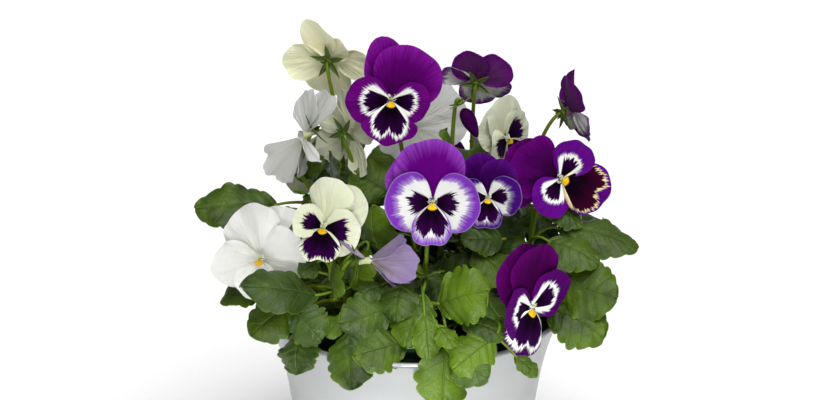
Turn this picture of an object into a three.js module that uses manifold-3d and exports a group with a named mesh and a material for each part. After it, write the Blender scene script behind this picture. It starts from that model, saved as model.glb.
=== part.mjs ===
// A potted pansy planter: a white cover pot with a dark nursery pot in it, compost, leafy shoots and blooms.
// Millimetres, +Z up. The origin is the middle of the cover pot's flat bottom, and -Y is the front.
import * as THREE from 'three';
import { mergeVertices } from 'three/addons/utils/BufferGeometryUtils.js';
import Module from 'manifold-3d';

const wasm = await Module();
wasm.setup();

// Driving dimensions.
const POT_HEIGHT = 150;
const POT_BASE_RADIUS = 70.5;
const POT_TAPER = 0.148;
const LIP_FLARE = 8;
const LIP_START = 95;
const POT_WALL = 1.4;
const RIM_BEAD = 1.7;
const NURSERY_TOP = 153;
const NURSERY_RADIUS = 84;
const NURSERY_COLLAR = 13;
const NURSERY_BASE_RADIUS = 60;
const NURSERY_WALL = 1.3;
const COMPOST_TOP = 139;
const HOLE_DEPTH = 26;
const DRAIN_HOLES = 6;
const DRAIN_RADIUS = 5;
const DRAIN_CIRCLE = 40;
const COLLAR_RISE = 6;
const STEM_STEPS = 3;
const FLOWER_STALK_STEPS = 5;
const STEM_RADIUS = 2.1;
const FLOWER_STALK_RADIUS = 1.25;
const LEAF_STALK_RADIUS = 1.05;
const LEAF_THICKNESS = 1.3;
const LEAF_ARCH = 0.42;
const LEAF_SAG = 0.16;
const TOOTH_DEPTH = 0.13;
const PETAL_THICKNESS = 1.2;
const PETAL_COLUMNS = [-0.95, -0.5, 0, 0.5, 0.95];
const PETAL_ROUNDNESS = 0.35;
const PETAL_CURL = 0.04;
const PETAL_CUP = 0.05;
const PETAL_RINGS = [0.6, 1];
const THROAT_SHARE = 0.07;
const THROAT_BACK = 4.2;
const THROAT_FRONT = 2.2;
const CALYX_DEPTH = 7.2;
const CALYX_HALF = 2.4;
const SEPAL_SHARE = 0.22;
const SEPAL_NOTCH = 2.6;
const SEPAL_SWEEP = 0.24;
const BUD_SHARE = 0.72;
const BUD_SEPAL = 9;
const BUD_PROFILE = [[0, 0], [0.3, 0.1], [0.36, 0.4], [0.2, 0.8], [0, 1]];
const CLEARANCE = 0.4;
const LATHE_SIDES = 26;
const VIEW_RISE = THREE.MathUtils.degToRad(25);

const UP = new THREE.Vector3(0, 0, 1);
const COLOURS = {
  cover_pot: 0xdcdde0, nursery_pot: 0x16241d, compost: 0x2a1c12, shoot: 0x4f7a2a,
  violet: 0x4a0d6b, cream: 0xeceed2, white: 0xf1f1ee, lilac: 0xa493c4, bud: 0x45105c,
};

// Each shoot: where its stem leaves the compost, and where the stem ends, with heights above the rim.
// A leaf row is blade base x, y, height, tip x, y, height, width, roll in degrees.
// A bloom is its eye, the way it faces (turn to the right, rise), its roll, its width and its form.
// Sway turns the two upper petals, low widens the lowest petal, and cup folds them all forward.
const SHOOTS = [
  { name: 'white_left', root: [-42, -20], top: [-76, -32, 24],
    leaves: [[-91, -32, 20, -123, -44, 14, 26, -12], [-72, -62, 24, -101, -80, 8, 30, -30]],
    bloom: { eye: [-96, -45, 45], turn: -12, rise: 24, roll: 6, width: 58, kind: 'white' } },
  { name: 'white_tall', root: [-44, 8], top: [-73, 2, 84],
    leaves: [[-88, -5, 65, -140, -14, 66, 35, -40], [-66, -4, 71, -76, -8, 77, 9, 0],
      [-72, 5, 80, -58, 8, 94, 15, 40], [-46, 4, 70, -54, 12, 96, 26, -20]],
    bloom: { eye: [-80, 2, 104], turn: -62, rise: -6, roll: -44, width: 54, kind: 'white' } },
  { name: 'cream_front', root: [-24, -28], top: [-52, -48, 34],
    leaves: [[-59, -72, 32, -105, -88, 46, 32, -14], [-74, -80, 26, -56, -94, 12, 27, 20],
      [-70, -88, 14, -72, -102, -8, 32, -4], [-49, -58, 50, -47, -72, 30, 19, 0],
      [-59, -54, 47, -71, -62, 42, 15, 0], [-28, -48, 54, -35, -60, 30, 24, 20]],
    bloom: { eye: [-55, -62, 74], turn: -14, rise: 14, roll: 8, width: 50, kind: 'cream', sway: 26 } },
  { name: 'cream_tall', root: [-26, 24], top: [-46, 32, 68],
    leaves: [[-48, 26, 76, -66, 40, 92, 24, 0]],
    bloom: { eye: [-52, 38, 151], turn: 158, rise: 6, roll: -14, width: 54, kind: 'cream' } },
  { name: 'cream_middle', root: [-10, 6], top: [-34, 6, 60],
    leaves: [[-12, -8, 72, -40, 0, 86, 32, -18], [-20, -36, 44, -26, -26, 74, 28, -30]],
    bloom: { eye: [-40, 10, 110], turn: 140, rise: -8, roll: 26, width: 52, kind: 'cream' } },
  { name: 'violet_top', root: [4, 0], top: [-4, 0, 62],
    leaves: [[-2, 8, 70, 10, 26, 84, 26, 0]],
    bloom: { eye: [-14, -2, 136], turn: 6, rise: 12, roll: 20, width: 62, kind: 'violet', low: 1.35 } },
  { name: 'white_middle', root: [4, 26], top: [2, 32, 50],
    leaves: [],
    bloom: { eye: [-1, 30, 105], turn: 12, rise: 22, roll: 42, width: 62, kind: 'white' } },
  { name: 'violet_front', root: [4, -26], top: [8, -50, 36],
    leaves: [[6, -74, 34, -5, -96, 8, 28, 6], [15, -78, 29, 47, -90, 44, 36, 34],
      [7, -86, 27, 10, -102, 2, 18, 0], [15, -90, 20, 25, -104, 12, 14, 0],
      [20, -92, 10, 18, -114, -27, 34, -6], [22, -98, 6, 46, -114, -4, 24, 24],
      [-7, -70, 42, -11, -88, 22, 25, 0]],
    bloom: { eye: [12, -60, 90], turn: 0, rise: 14, roll: 0, width: 62, kind: 'violet', sway: -10 } },
  { name: 'left_low', root: [-20, -46], top: [-28, -64, 12],
    leaves: [[-39, -88, 16, -38, -108, -15, 31, 0], [-12, -78, 28, -45, -92, 22, 29, -26],
      [-41, -74, 20, -54, -84, 10, 16, 0], [-18, -66, 37, -35, -78, 32, 15, 0],
      [-4, -90, 10, -38, -104, 6, 31, -30]] },
  { name: 'lilac_left', root: [-40, -44], top: [-46, -64, 36], leaves: [],
    bloom: { eye: [-33, -74, 56], turn: 76, rise: -6, roll: -30, width: 50, kind: 'lilac', cup: 54 } },
  { name: 'right_low', root: [24, -44], top: [34, -66, 10],
    leaves: [[30, -84, 20, 57, -94, 15, 22, 24], [50, -90, 12, 24, -106, -2, 28, -20],
      [40, -70, 32, 56, -80, 15, 22, 10], [62, -94, 2, 76, -102, -8, 13, 0]] },
  { name: 'violet_low', root: [42, -36], top: [60, -52, 14],
    leaves: [[86, -58, 18, 120, -76, 4, 36, 30], [93, -46, 30, 128, -60, 24, 38, 24]],
    bloom: { eye: [74, -76, 26], turn: 36, rise: 2, roll: 24, width: 66, kind: 'violet', sway: -24 } },
  { name: 'violet_small', root: [24, -20], top: [42, -32, 44],
    leaves: [[38, -48, 53, 62, -62, 34, 30, 0], [57, -42, 57, 30, -54, 62, 22, -12]],
    bloom: { eye: [47, -38, 84], turn: -6, rise: 14, roll: 0, width: 42, kind: 'violet' } },
  { name: 'violet_right', root: [46, -10], top: [76, -18, 44],
    leaves: [[85, -38, 54, 116, -52, 44, 26, 26], [92, -22, 56, 143, -32, 46, 30, 24],
      [85, -18, 72, 108, -28, 60, 22, 14]],
    bloom: { eye: [93, -22, 90], turn: 20, rise: 8, roll: -54, width: 62, kind: 'violet' } },
  { name: 'violet_far', root: [48, 14], top: [76, 6, 70],
    leaves: [[84, 10, 52, 124, 20, 44, 32, 0], [74, 26, 66, 98, 46, 62, 30, 0]],
    bloom: { eye: [104, 5, 127], turn: 62, rise: 4, roll: 6, width: 48, kind: 'violet' } },
  { name: 'cream_right', root: [24, 8], top: [44, 10, 62],
    leaves: [[46, 24, 68, 58, 46, 76, 26, 0]],
    bloom: { eye: [60, 8, 106], turn: 50, rise: 4, roll: -24, width: 44, kind: 'cream' } },
  { name: 'violet_back', root: [28, 32], top: [38, 28, 72],
    leaves: [[34, 2, 92, 47, 6, 103, 15, 0]],
    bloom: { eye: [41, 22, 142], turn: 172, rise: 12, roll: 4, width: 48, kind: 'violet' } },
  { name: 'budding', root: [14, -8], top: [24, -6, 66],
    leaves: [[25, -5, 91, 20, 2, 115, 19, 10]],
    bloom: { eye: [33, -6, 128], turn: 75, rise: -62, roll: 0, width: 28, kind: 'bud' } },
  { name: 'rear_cream', root: [-28, 50], top: [-48, 62, 22], leaves: [],
    bloom: { eye: [-60, 84, 54], turn: 212, rise: 22, roll: 8, width: 56, kind: 'cream' } },
  { name: 'rear_violet', root: [0, 56], top: [4, 72, 20], leaves: [],
    bloom: { eye: [6, 98, 52], turn: 176, rise: 24, roll: -10, width: 56, kind: 'violet' } },
  { name: 'rear_white', root: [32, 50], top: [52, 62, 22], leaves: [],
    bloom: { eye: [64, 82, 56], turn: 146, rise: 22, roll: 6, width: 54, kind: 'white' } },
  { name: 'rear_left', root: [-56, 24], top: [-80, 30, 34], leaves: [] },
  { name: 'rear_right', root: [56, 30], top: [82, 34, 34], leaves: [] },
];

// Petals in their layers: angle from the top, length over the bloom's width, half spread,
// lift, depth behind or before the eye, and end notch.
const PETALS = [
  { angle: -19, length: 0.65, spread: 76, lift: 4, depth: -2.7, notch: 0 },
  { angle: 19, length: 0.64, spread: 76, lift: 5, depth: -1.4, notch: 0 },
  { angle: -92, length: 0.49, spread: 80, lift: 9, depth: 0, notch: 0 },
  { angle: 92, length: 0.50, spread: 80, lift: 9, depth: 0.2, notch: 0 },
  { angle: 180, length: 0.44, spread: 54, lift: 13, depth: 1.6, notch: 0.12 },
];

// The other foliage goes round in tiers, on the nearest shoots: base and tip are radius and height.
const TIERS = [
  { from: -10, to: 190, leaves: 7, base: [84, 12], tip: [124, -8], width: 42 },
  { from: 8, to: 172, leaves: 6, base: [63, 42], tip: [105, 38], width: 40 },
  { from: 30, to: 150, leaves: 4, base: [38, 66], tip: [76, 80], width: 34 },
  { from: 202, to: 340, leaves: 6, base: [34, 36], tip: [64, 14], width: 31 },
];

// How much farther a shoot counts for each leaf that it has already, in millimetres.
const LEAF_CROWDING = 3;

// A leaf that would cross another shoot steps along the line of sight, or rolls, until it is clear.
const STEPS = [0, 3, -3, 6, -6, 9, -9, 12, -12, 15, -15, 18, -18];
const ROLLS = [0, 14, -14, 30, -30, 50, -50];

const radians = THREE.MathUtils.degToRad;
const vec = (x, y, z) => new THREE.Vector3(x, y, z);
const aboveRim = ([x, y, height]) => vec(x, y, POT_HEIGHT + height);

// A closed three.js geometry as a manifold solid.
function solid(geometry) {
  const bare = new THREE.BufferGeometry().setAttribute('position', geometry.getAttribute('position'));
  if (geometry.index) bare.setIndex(geometry.index);
  const merged = mergeVertices(bare, 1e-4);
  const made = new wasm.Manifold(new wasm.Mesh({
    numProp: 3,
    vertProperties: new Float32Array(merged.attributes.position.array),
    triVerts: new Uint32Array(merged.index.array),
  }));
  if (made.volume() >= 0) return made;
  return new wasm.Manifold(new wasm.Mesh({
    numProp: 3,
    vertProperties: new Float32Array(merged.attributes.position.array),
    triVerts: new Uint32Array(merged.index.array).reverse(),
  }));
}

// A manifold solid as a three.js geometry.
function geometryOf(made) {
  const mesh = made.getMesh();
  return new THREE.BufferGeometry()
    .setAttribute('position', new THREE.BufferAttribute(new Float32Array(mesh.vertProperties), 3))
    .setIndex(new THREE.BufferAttribute(new Uint32Array(mesh.triVerts), 1));
}

const union = (solids) => solids.reduce((all, next) => all.add(next));

// A profile of [radius, height] pairs turned round the Z axis.
function turned(profile, sides = LATHE_SIDES) {
  const points = profile.map(([radius, height]) => new THREE.Vector2(radius, height));
  return solid(new THREE.LatheGeometry(points, sides).rotateX(Math.PI / 2));
}

// A few-sided tube along a curve.
function tube(curve, radius, sides, steps) {
  const corners = Array.from({ length: sides }, (_, i) => {
    const angle = (2 * Math.PI * i) / sides;
    return new THREE.Vector2(radius * Math.cos(angle), radius * Math.sin(angle));
  });
  const options = { steps, extrudePath: curve, bevelEnabled: false };
  return solid(new THREE.ExtrudeGeometry(new THREE.Shape(corners), options));
}

// A thin blade from a grid of places, each with the way its face looks and half its thickness.
// A thickness of 0 makes a sharp edge. Both faces are split into triangles alike.
// A blade that opens from one thick point is walled in at both sides of it.
function blade(rows, walled = false) {
  const position = [];
  const index = [];
  const faces = [1, -1].map((side) => rows.map((row) => row.map(({ point, normal, half }) => {
    position.push(...point.clone().addScaledVector(normal, side * half).toArray());
    return position.length / 3 - 1;
  })));
  const corner = (grid, i, j) => grid[i][Math.min(j, grid[i].length - 1)];
  for (let i = 0; i + 1 < rows.length; i += 1) {
    const columns = Math.max(rows[i].length, rows[i + 1].length) - 1;
    for (let j = 0; j < columns; j += 1) {
      faces.forEach((grid, side) => {
        const [a, b] = [corner(grid, i, j), corner(grid, i, j + 1)];
        const [c, d] = [corner(grid, i + 1, j + 1), corner(grid, i + 1, j)];
        const pair = j >= columns / 2 ? [[a, b, c], [a, c, d]] : [[a, b, d], [b, c, d]];
        pair.filter((corners) => new Set(corners).size === 3)
          .forEach(([p, q, r]) => index.push(...(side ? [p, r, q] : [p, q, r])));
      });
    }
  }
  if (walled) {
    const [[[upper], next], [[lower]]] = faces;
    index.push(upper, next[0], lower, next[next.length - 1], upper, lower);
  }
  const geometry = new THREE.BufferGeometry();
  geometry.setAttribute('position', new THREE.Float32BufferAttribute(position, 3));
  geometry.setIndex(index);
  return solid(geometry);
}

// How wide a leaf is at a share of its length, with rounded teeth along its edge.
function leafEdge(share, teeth) {
  const outline = Math.sin(Math.PI * share ** 1.1) ** 0.58;
  const tooth = 1 - TOOTH_DEPTH * (1 - Math.abs(Math.sin(Math.PI * teeth * share)));
  return outline * tooth;
}

// The directions of a blade: along it, across it and out of its upper face.
function leafFrame(base, tip, roll) {
  const along = tip.clone().sub(base).normalize();
  const outward = vec(base.x, base.y, 0).normalize().multiplyScalar(0.6).add(UP);
  const across = along.clone().cross(outward).normalize().applyAxisAngle(along, radians(roll));
  return { along, normal: across.clone().cross(along).normalize() };
}

// A toothed blade on its stalk, which starts inside the stem. Fat makes it larger all round.
function leaf(from, { base, tip, width, roll }, fat = 0) {
  const { along, normal } = leafFrame(base, tip, roll);
  const length = base.distanceTo(tip);
  const reach = from.distanceTo(base);
  const strip = (middle, ahead, half, thick, sag = 0) => {
    const sideways = ahead.clone().cross(normal).normalize();
    const out = sideways.clone().cross(ahead).normalize();
    return [-1, 0, 1].map((side) => ({
      point: middle.clone().addScaledVector(sideways, side * half)
        .addScaledVector(out, -sag * Math.abs(side)),
      normal: out,
      half: side ? 0 : thick,
    }));
  };
  const bow = base.clone().addScaledVector(along, -0.4 * reach).addScaledVector(UP, 0.12 * reach);
  const stalk = new THREE.QuadraticBezierCurve3(from, bow, base);
  const stalkHalf = LEAF_STALK_RADIUS + fat;
  const teeth = width > 29 ? 4 : 3;
  const rows = [[{ point: from, normal, half: 0 }]];
  [0.12, 1].forEach((share) => {
    rows.push(strip(stalk.getPoint(share), stalk.getTangent(share), stalkHalf, stalkHalf));
  });
  for (let step = 1; step < 2 * teeth; step += 1) {
    const share = step / (2 * teeth);
    const half = (leafEdge(share, teeth) * width) / 2;
    const arch = LEAF_ARCH * length * share * (1 - share);
    const middle = base.clone().addScaledVector(along, length * share).addScaledVector(normal, arch);
    rows.push(strip(middle, along, half + fat, LEAF_THICKNESS / 2 + fat, LEAF_SAG * half));
  }
  rows.push([{ point: tip, normal, half: 0 }]);
  return blade(rows);
}

// Where a leaf lies after it has stepped along the line of sight and rolled.
function moved(row, step, roll) {
  const sight = vec(0, -Math.cos(VIEW_RISE), Math.sin(VIEW_RISE)).multiplyScalar(step);
  return {
    base: aboveRim(row.slice(0, 3)).add(sight),
    tip: aboveRim(row.slice(3, 6)).add(sight),
    width: row[6],
    roll: row[7] + roll,
  };
}

// The bloom's own directions: out of its face, to its right and up, as its viewer sees them.
function bloomFrame({ turn, rise, roll }) {
  const [a, b, c] = [turn, rise, roll].map(radians);
  const face = vec(Math.sin(a) * Math.cos(b), -Math.cos(a) * Math.cos(b), Math.sin(b));
  const level = UP.clone().cross(face).normalize();
  const upright = face.clone().cross(level);
  return {
    face,
    up: upright.clone().multiplyScalar(Math.cos(c)).addScaledVector(level, Math.sin(c)),
    right: level.clone().multiplyScalar(Math.cos(c)).addScaledVector(upright, -Math.sin(c)),
  };
}

// How far a fan-shaped petal's edge is from the eye, at an angle from its middle.
function petalReach(angle, { length, spread, notch }) {
  const fan = Math.cos((Math.PI / 2) * (angle / spread)) ** PETAL_ROUNDNESS;
  return length * fan * (1 - notch * Math.exp(-((angle / (0.2 * spread)) ** 2)));
}

function petal(bloom, frame, form) {
  const lowest = form.angle === 180;
  const length = form.length * bloom.width;
  const spread = radians(form.spread * (lowest ? bloom.low ?? 1 : 1));
  const lift = radians(form.lift + (bloom.cup ?? 0));
  const turn = radians(form.angle + (Math.abs(form.angle) < 90 ? bloom.sway ?? 0 : 0));
  const along = frame.up.clone().multiplyScalar(Math.cos(turn)).addScaledVector(frame.right, Math.sin(turn));
  const across = along.clone().cross(frame.face);
  const origin = aboveRim(bloom.eye).addScaledVector(frame.face, form.depth);
  const rows = PETAL_RINGS.map((ring) => PETAL_COLUMNS.map((column) => {
    const angle = column * spread;
    const reach = ring * petalReach(angle, { length, spread, notch: form.notch });
    const out = reach * Math.cos(angle);
    const side = reach * Math.sin(angle);
    const curl = PETAL_CURL * length * ring ** 3;
    const bend = out * Math.sin(lift) - curl + (PETAL_CUP * side * side) / length;
    const rim = ring === 1 || Math.abs(column) === PETAL_COLUMNS.at(-1);
    return {
      point: origin.clone().addScaledVector(along, out * Math.cos(lift)).addScaledVector(across, side)
        .addScaledVector(frame.face, bend),
      normal: frame.face,
      half: rim ? 0 : PETAL_THICKNESS / 2,
    };
  }));
  return blade([[{ point: origin, normal: frame.face, half: PETAL_THICKNESS / 2 }], ...rows], true);
}

// The petals joined at the throat.
function bloomSolid(bloom) {
  const frame = bloomFrame(bloom);
  const eye = aboveRim(bloom.eye);
  const throat = tube(new THREE.LineCurve3(
    eye.clone().addScaledVector(frame.face, -THROAT_BACK),
    eye.clone().addScaledVector(frame.face, THROAT_FRONT),
  ), THROAT_SHARE * bloom.width, 3, 1);
  if (bloom.kind === 'bud') {
    const length = BUD_SHARE * bloom.width;
    const profile = BUD_PROFILE.map((pair) => new THREE.Vector2(...pair).multiplyScalar(length));
    const closed = new THREE.LatheGeometry(profile, 9).rotateX(Math.PI / 2)
      .applyQuaternion(new THREE.Quaternion().setFromUnitVectors(UP, frame.face))
      .translate(...eye.clone().addScaledVector(frame.face, -3.5).toArray());
    return solid(closed);
  }
  return union([throat, ...PETALS.map((form) => petal(bloom, frame, form))]);
}

// The flower stalk rises from the stem's end and hooks over into the calyx behind the bloom.
function stalkCurve(top, bloom) {
  const { face } = bloomFrame(bloom);
  const end = aboveRim(bloom.eye).addScaledVector(face, -7.5);
  const rise = Math.max(14, 0.55 * top.distanceTo(end));
  const crook = bloom.kind === 'bud' ? 7 : 3;
  const hook = end.clone().addScaledVector(face, -0.22 * rise).addScaledVector(UP, crook);
  return new THREE.CubicBezierCurve3(top, top.clone().addScaledVector(UP, rise), hook, end);
}

// Five pointed sepals in one star behind the bloom, thick in the middle.
function calyx(bloom) {
  const frame = bloomFrame(bloom);
  const eye = aboveRim(bloom.eye);
  const length = bloom.kind === 'bud' ? BUD_SEPAL : SEPAL_SHARE * bloom.width;
  const heart = eye.clone().addScaledVector(frame.face, -CALYX_DEPTH);
  const middle = { point: heart, normal: frame.face, half: CALYX_HALF };
  const star = Array.from({ length: 11 }, (_, i) => {
    const turn = (i * Math.PI) / 5;
    const out = i % 2 ? SEPAL_NOTCH : length;
    const point = heart.clone().addScaledVector(frame.face, 0.8 - SEPAL_SWEEP * out)
      .addScaledVector(frame.up, out * Math.cos(turn)).addScaledVector(frame.right, out * Math.sin(turn));
    return { point, normal: frame.face, half: 0 };
  });
  return blade([[middle], star]);
}

// The stem rises straight out of its hole and then leans to its end.
function stemCurve({ root, top }) {
  const collar = vec(root[0], root[1], COMPOST_TOP + COLLAR_RISE);
  const end = aboveRim(top);
  const lean = vec(root[0], root[1], (end.z + collar.z) / 2).lerp(end, 0.25);
  return new THREE.QuadraticBezierCurve3(collar, lean, end);
}

// Stem, calyx and flower stalk in one, without the leaves.
function shootFrame(shoot) {
  const rise = stemCurve(shoot);
  const foot = rise.v0.clone().setZ(COMPOST_TOP - HOLE_DEPTH + CLEARANCE);
  const parts = [
    tube(new THREE.LineCurve3(foot, rise.v0.clone().addScaledVector(UP, 2)), STEM_RADIUS, 4, 1),
    tube(rise, 0.94 * STEM_RADIUS, 4, STEM_STEPS),
  ];
  if (shoot.bloom) {
    const top = rise.v2.clone().addScaledVector(UP, -2);
    const stalk = tube(stalkCurve(top, shoot.bloom), FLOWER_STALK_RADIUS, 3, FLOWER_STALK_STEPS);
    parts.push(stalk, calyx(shoot.bloom));
  }
  return union(parts);
}

// The place on a shoot's stem that a leaf grows from: lower leaves come from lower down.
function leafOrigin(shoot, row) {
  const chords = stemCurve(shoot).getSpacedPoints(STEM_STEPS);
  const height = row[2] - 0.3 * Math.hypot(row[0] - shoot.top[0], row[1] - shoot.top[1]);
  const share = THREE.MathUtils.clamp((height + 5) / (shoot.top[2] + 5), 0.1, 0.98) * STEM_STEPS;
  const chord = Math.floor(share);
  return chords[chord].clone().lerp(chords[chord + 1], share - chord);
}

// The leaves of the tiers, each on a shoot whose stem ends near it and that has few leaves yet.
function addTiers() {
  TIERS.forEach((tier, level) => {
    for (let i = 0; i < tier.leaves; i += 1) {
      const draw = (salt) => (Math.sin(12.9898 * (i + 1) + 3 * level + salt) * 43758.5453) % 1;
      const angle = radians(tier.from + ((tier.to - tier.from) * (i + 0.5)) / tier.leaves);
      const swing = angle + radians(9 * draw(1));
      const size = 1 + 0.12 * draw(2);
      const reach = (tier.tip[0] - tier.base[0]) * size;
      const [x, y] = [tier.base[0] * Math.cos(angle), tier.base[0] * Math.sin(angle)];
      const row = [x, y, tier.base[1] + 4 * draw(3),
        x + reach * Math.cos(swing), y + reach * Math.sin(swing), tier.tip[1] + 5 * draw(4),
        tier.width * size, 12 * draw(5)];
      const gap = ({ top, leaves }) => (
        Math.hypot(x - top[0], y - top[1], tier.base[1] - top[2]) + LEAF_CROWDING * leaves.length
      );
      SHOOTS.reduce((best, shoot) => (gap(shoot) < gap(best) ? shoot : best)).leaves.push(row);
    }
  });
}

// The outer radius of the cover pot at a height: a cone whose lip flares.
function potRadius(height) {
  const lip = Math.max(0, height - LIP_START) / (POT_HEIGHT - LIP_START);
  return POT_BASE_RADIUS + POT_TAPER * height + LIP_FLARE * lip * lip;
}

function coverPot() {
  const heights = [0, LIP_START, 118, 135, POT_HEIGHT - 2 * RIM_BEAD];
  const outside = heights.map((height) => [potRadius(height), height]);
  const rim = potRadius(POT_HEIGHT);
  const bead = [-45, 15, 75, 135].map((angle) => [
    rim + RIM_BEAD * Math.cos(radians(angle)),
    POT_HEIGHT - RIM_BEAD + RIM_BEAD * Math.sin(radians(angle)),
  ]);
  const inside = heights.slice(1).reverse().map((height) => [potRadius(height) - POT_WALL, height]);
  const floor = [[potRadius(POT_WALL) - POT_WALL, POT_WALL], [0, POT_WALL]];
  return turned([[0, 0], ...outside, ...bead, ...inside, ...floor]);
}

const nurseryRadius = (height) => NURSERY_BASE_RADIUS
  + ((NURSERY_RADIUS - 3 - NURSERY_BASE_RADIUS) * height) / (NURSERY_TOP - NURSERY_COLLAR);
const NURSERY_FLOOR = POT_WALL + CLEARANCE;

function nurseryPot() {
  const neck = NURSERY_TOP - NURSERY_COLLAR;
  const shell = turned([
    [0, NURSERY_FLOOR], [nurseryRadius(NURSERY_FLOOR), NURSERY_FLOOR],
    [nurseryRadius(neck), neck], [NURSERY_RADIUS - 0.6, neck + 1],
    [NURSERY_RADIUS + 0.9, NURSERY_TOP],
    [NURSERY_RADIUS - NURSERY_WALL, NURSERY_TOP], [NURSERY_RADIUS - NURSERY_WALL - 0.6, neck + 2.2],
    [nurseryRadius(neck) - NURSERY_WALL, neck],
    [nurseryRadius(NURSERY_FLOOR) - NURSERY_WALL, NURSERY_FLOOR + NURSERY_WALL],
    [0, NURSERY_FLOOR + NURSERY_WALL],
  ]);
  return Array.from({ length: DRAIN_HOLES }, (_, i) => {
    const angle = (2 * Math.PI * i) / DRAIN_HOLES;
    return solid(new THREE.CylinderGeometry(DRAIN_RADIUS, DRAIN_RADIUS, 8, 8).rotateX(Math.PI / 2)
      .translate(DRAIN_CIRCLE * Math.cos(angle), DRAIN_CIRCLE * Math.sin(angle), NURSERY_FLOOR));
  }).reduce((pot, hole) => pot.subtract(hole), shell);
}

// The root ball, lumpy on top, with a hole for each stem.
function compost() {
  const foot = NURSERY_FLOOR + NURSERY_WALL + CLEARANCE;
  const rings = [28, 58, nurseryRadius(COMPOST_TOP) - NURSERY_WALL - 1];
  const lump = (radius) => COMPOST_TOP - 1.4 + 1.1 * Math.sin(0.31 * radius);
  const geometry = new THREE.LatheGeometry([
    [0, foot], [nurseryRadius(foot) - NURSERY_WALL - 2.5, foot],
    [nurseryRadius(COMPOST_TOP) - NURSERY_WALL - 1, COMPOST_TOP - 3],
    ...rings.slice(0, -1).reverse().map((radius) => [radius, lump(radius)]), [0, COMPOST_TOP],
  ].map(([radius, height]) => new THREE.Vector2(radius, height)), LATHE_SIDES).rotateX(Math.PI / 2);
  const place = geometry.getAttribute('position');
  for (let i = 0; i < place.count; i += 1) {
    const [x, y, z] = [place.getX(i), place.getY(i), place.getZ(i)];
    if (z > COMPOST_TOP - 2.9) place.setZ(i, z + 0.9 * Math.sin(0.23 * x) * Math.cos(0.19 * y));
  }
  const holes = SHOOTS.map(({ root }) => solid(new THREE.CylinderGeometry(
    STEM_RADIUS + CLEARANCE, STEM_RADIUS + CLEARANCE, 2 * HOLE_DEPTH, 6,
  ).rotateX(Math.PI / 2).translate(root[0], root[1], COMPOST_TOP)));
  return holes.reduce((ball, hole) => ball.subtract(hole), solid(geometry));
}

const crosses = (one, other) => {
  const [a, b] = [one.boundingBox(), other.boundingBox()];
  const apart = [0, 1, 2].some((k) => a.max[k] < b.min[k] || b.max[k] < a.min[k]);
  return !apart && !one.intersect(other).isEmpty();
};

// Adds each leaf to its shoot where it clears everything that isn't of that shoot.
function addLeaves(solids) {
  SHOOTS.forEach((shoot) => shoot.leaves.forEach((row) => {
    const name = `shoot_${shoot.name}`;
    const others = Object.entries(solids).filter(([key]) => key !== name).map(([, made]) => made);
    const from = leafOrigin(shoot, row);
    const tries = STEPS.flatMap((step) => ROLLS.map((roll) => moved(row, step, roll)));
    const place = tries.find((trial) => {
      const wide = leaf(from, trial, CLEARANCE);
      return !others.some((other) => crosses(wide, other));
    });
    if (!place) throw new Error(`no clear place for the leaf of ${name} at ${row.slice(0, 3)}`);
    solids[name] = solids[name].add(leaf(from, place));
  }));
}

const solids = { cover_pot: coverPot(), nursery_pot: nurseryPot(), compost: compost() };
addTiers();
SHOOTS.forEach((shoot) => {
  solids[`shoot_${shoot.name}`] = shootFrame(shoot);
  if (shoot.bloom) solids[`bloom_${shoot.name}`] = bloomSolid(shoot.bloom);
});
addLeaves(solids);

const planter = new THREE.Group();
Object.entries(solids).forEach(([name, made]) => {
  const shoot = SHOOTS.find((one) => name === `bloom_${one.name}`);
  const key = shoot ? shoot.bloom.kind : name.split('_')[0] === 'shoot' ? 'shoot' : name;
  const metal = name === 'cover_pot' ? 0.3 : 0;
  const material = new THREE.MeshStandardMaterial({ color: COLOURS[key], roughness: 0.55, metalness: metal });
  const mesh = new THREE.Mesh(geometryOf(made), material);
  mesh.name = name;
  planter.add(mesh);
});

export default planter;
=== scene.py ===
"""A potted pansy planter: a pale metal cover pot, a dark nursery pot, compost, leafy shoots and blooms.

The tables are in millimetres, +Z up and -Y to the front. Meshes are written in metres.
"""

from __future__ import annotations

import logging
import math
from dataclasses import dataclass, field, replace
from enum import Enum
from random import Random
from typing import Sequence

import bpy
import numpy as np
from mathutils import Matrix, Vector
from mathutils.kdtree import KDTree

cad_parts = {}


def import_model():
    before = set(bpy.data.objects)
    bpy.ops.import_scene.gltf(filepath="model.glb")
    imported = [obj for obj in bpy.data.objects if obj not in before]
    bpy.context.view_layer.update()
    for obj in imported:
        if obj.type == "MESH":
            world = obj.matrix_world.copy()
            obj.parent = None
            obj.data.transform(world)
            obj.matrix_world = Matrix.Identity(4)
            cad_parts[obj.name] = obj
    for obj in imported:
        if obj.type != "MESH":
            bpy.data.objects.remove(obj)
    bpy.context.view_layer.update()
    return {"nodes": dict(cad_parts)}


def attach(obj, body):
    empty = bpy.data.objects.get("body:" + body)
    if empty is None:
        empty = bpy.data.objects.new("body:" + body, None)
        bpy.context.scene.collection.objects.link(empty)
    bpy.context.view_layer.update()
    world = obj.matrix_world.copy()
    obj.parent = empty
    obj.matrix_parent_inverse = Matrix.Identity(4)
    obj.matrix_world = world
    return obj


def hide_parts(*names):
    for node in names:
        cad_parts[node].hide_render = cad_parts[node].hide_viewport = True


log = logging.getLogger("planter")

Piece = bpy.types.Object
Material = bpy.types.Material
Socket = bpy.types.NodeSocket
Array = np.ndarray
Settings = dict[str, object]
Inputs = dict[int | str, object]
Colour = tuple[float, float, float]
Point = tuple[float, float, float]
Pair = tuple[float, float]

MM = 0.001
BODY = "root"
UP = np.array([0.0, 0.0, 1.0])

# Heights that more than one part of the planter is placed by.
POT_HEIGHT = 150.0
COMPOST_TOP = 139.0

# The slit between each part and what it stands on.
FIT_GAP = 0.4

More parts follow.
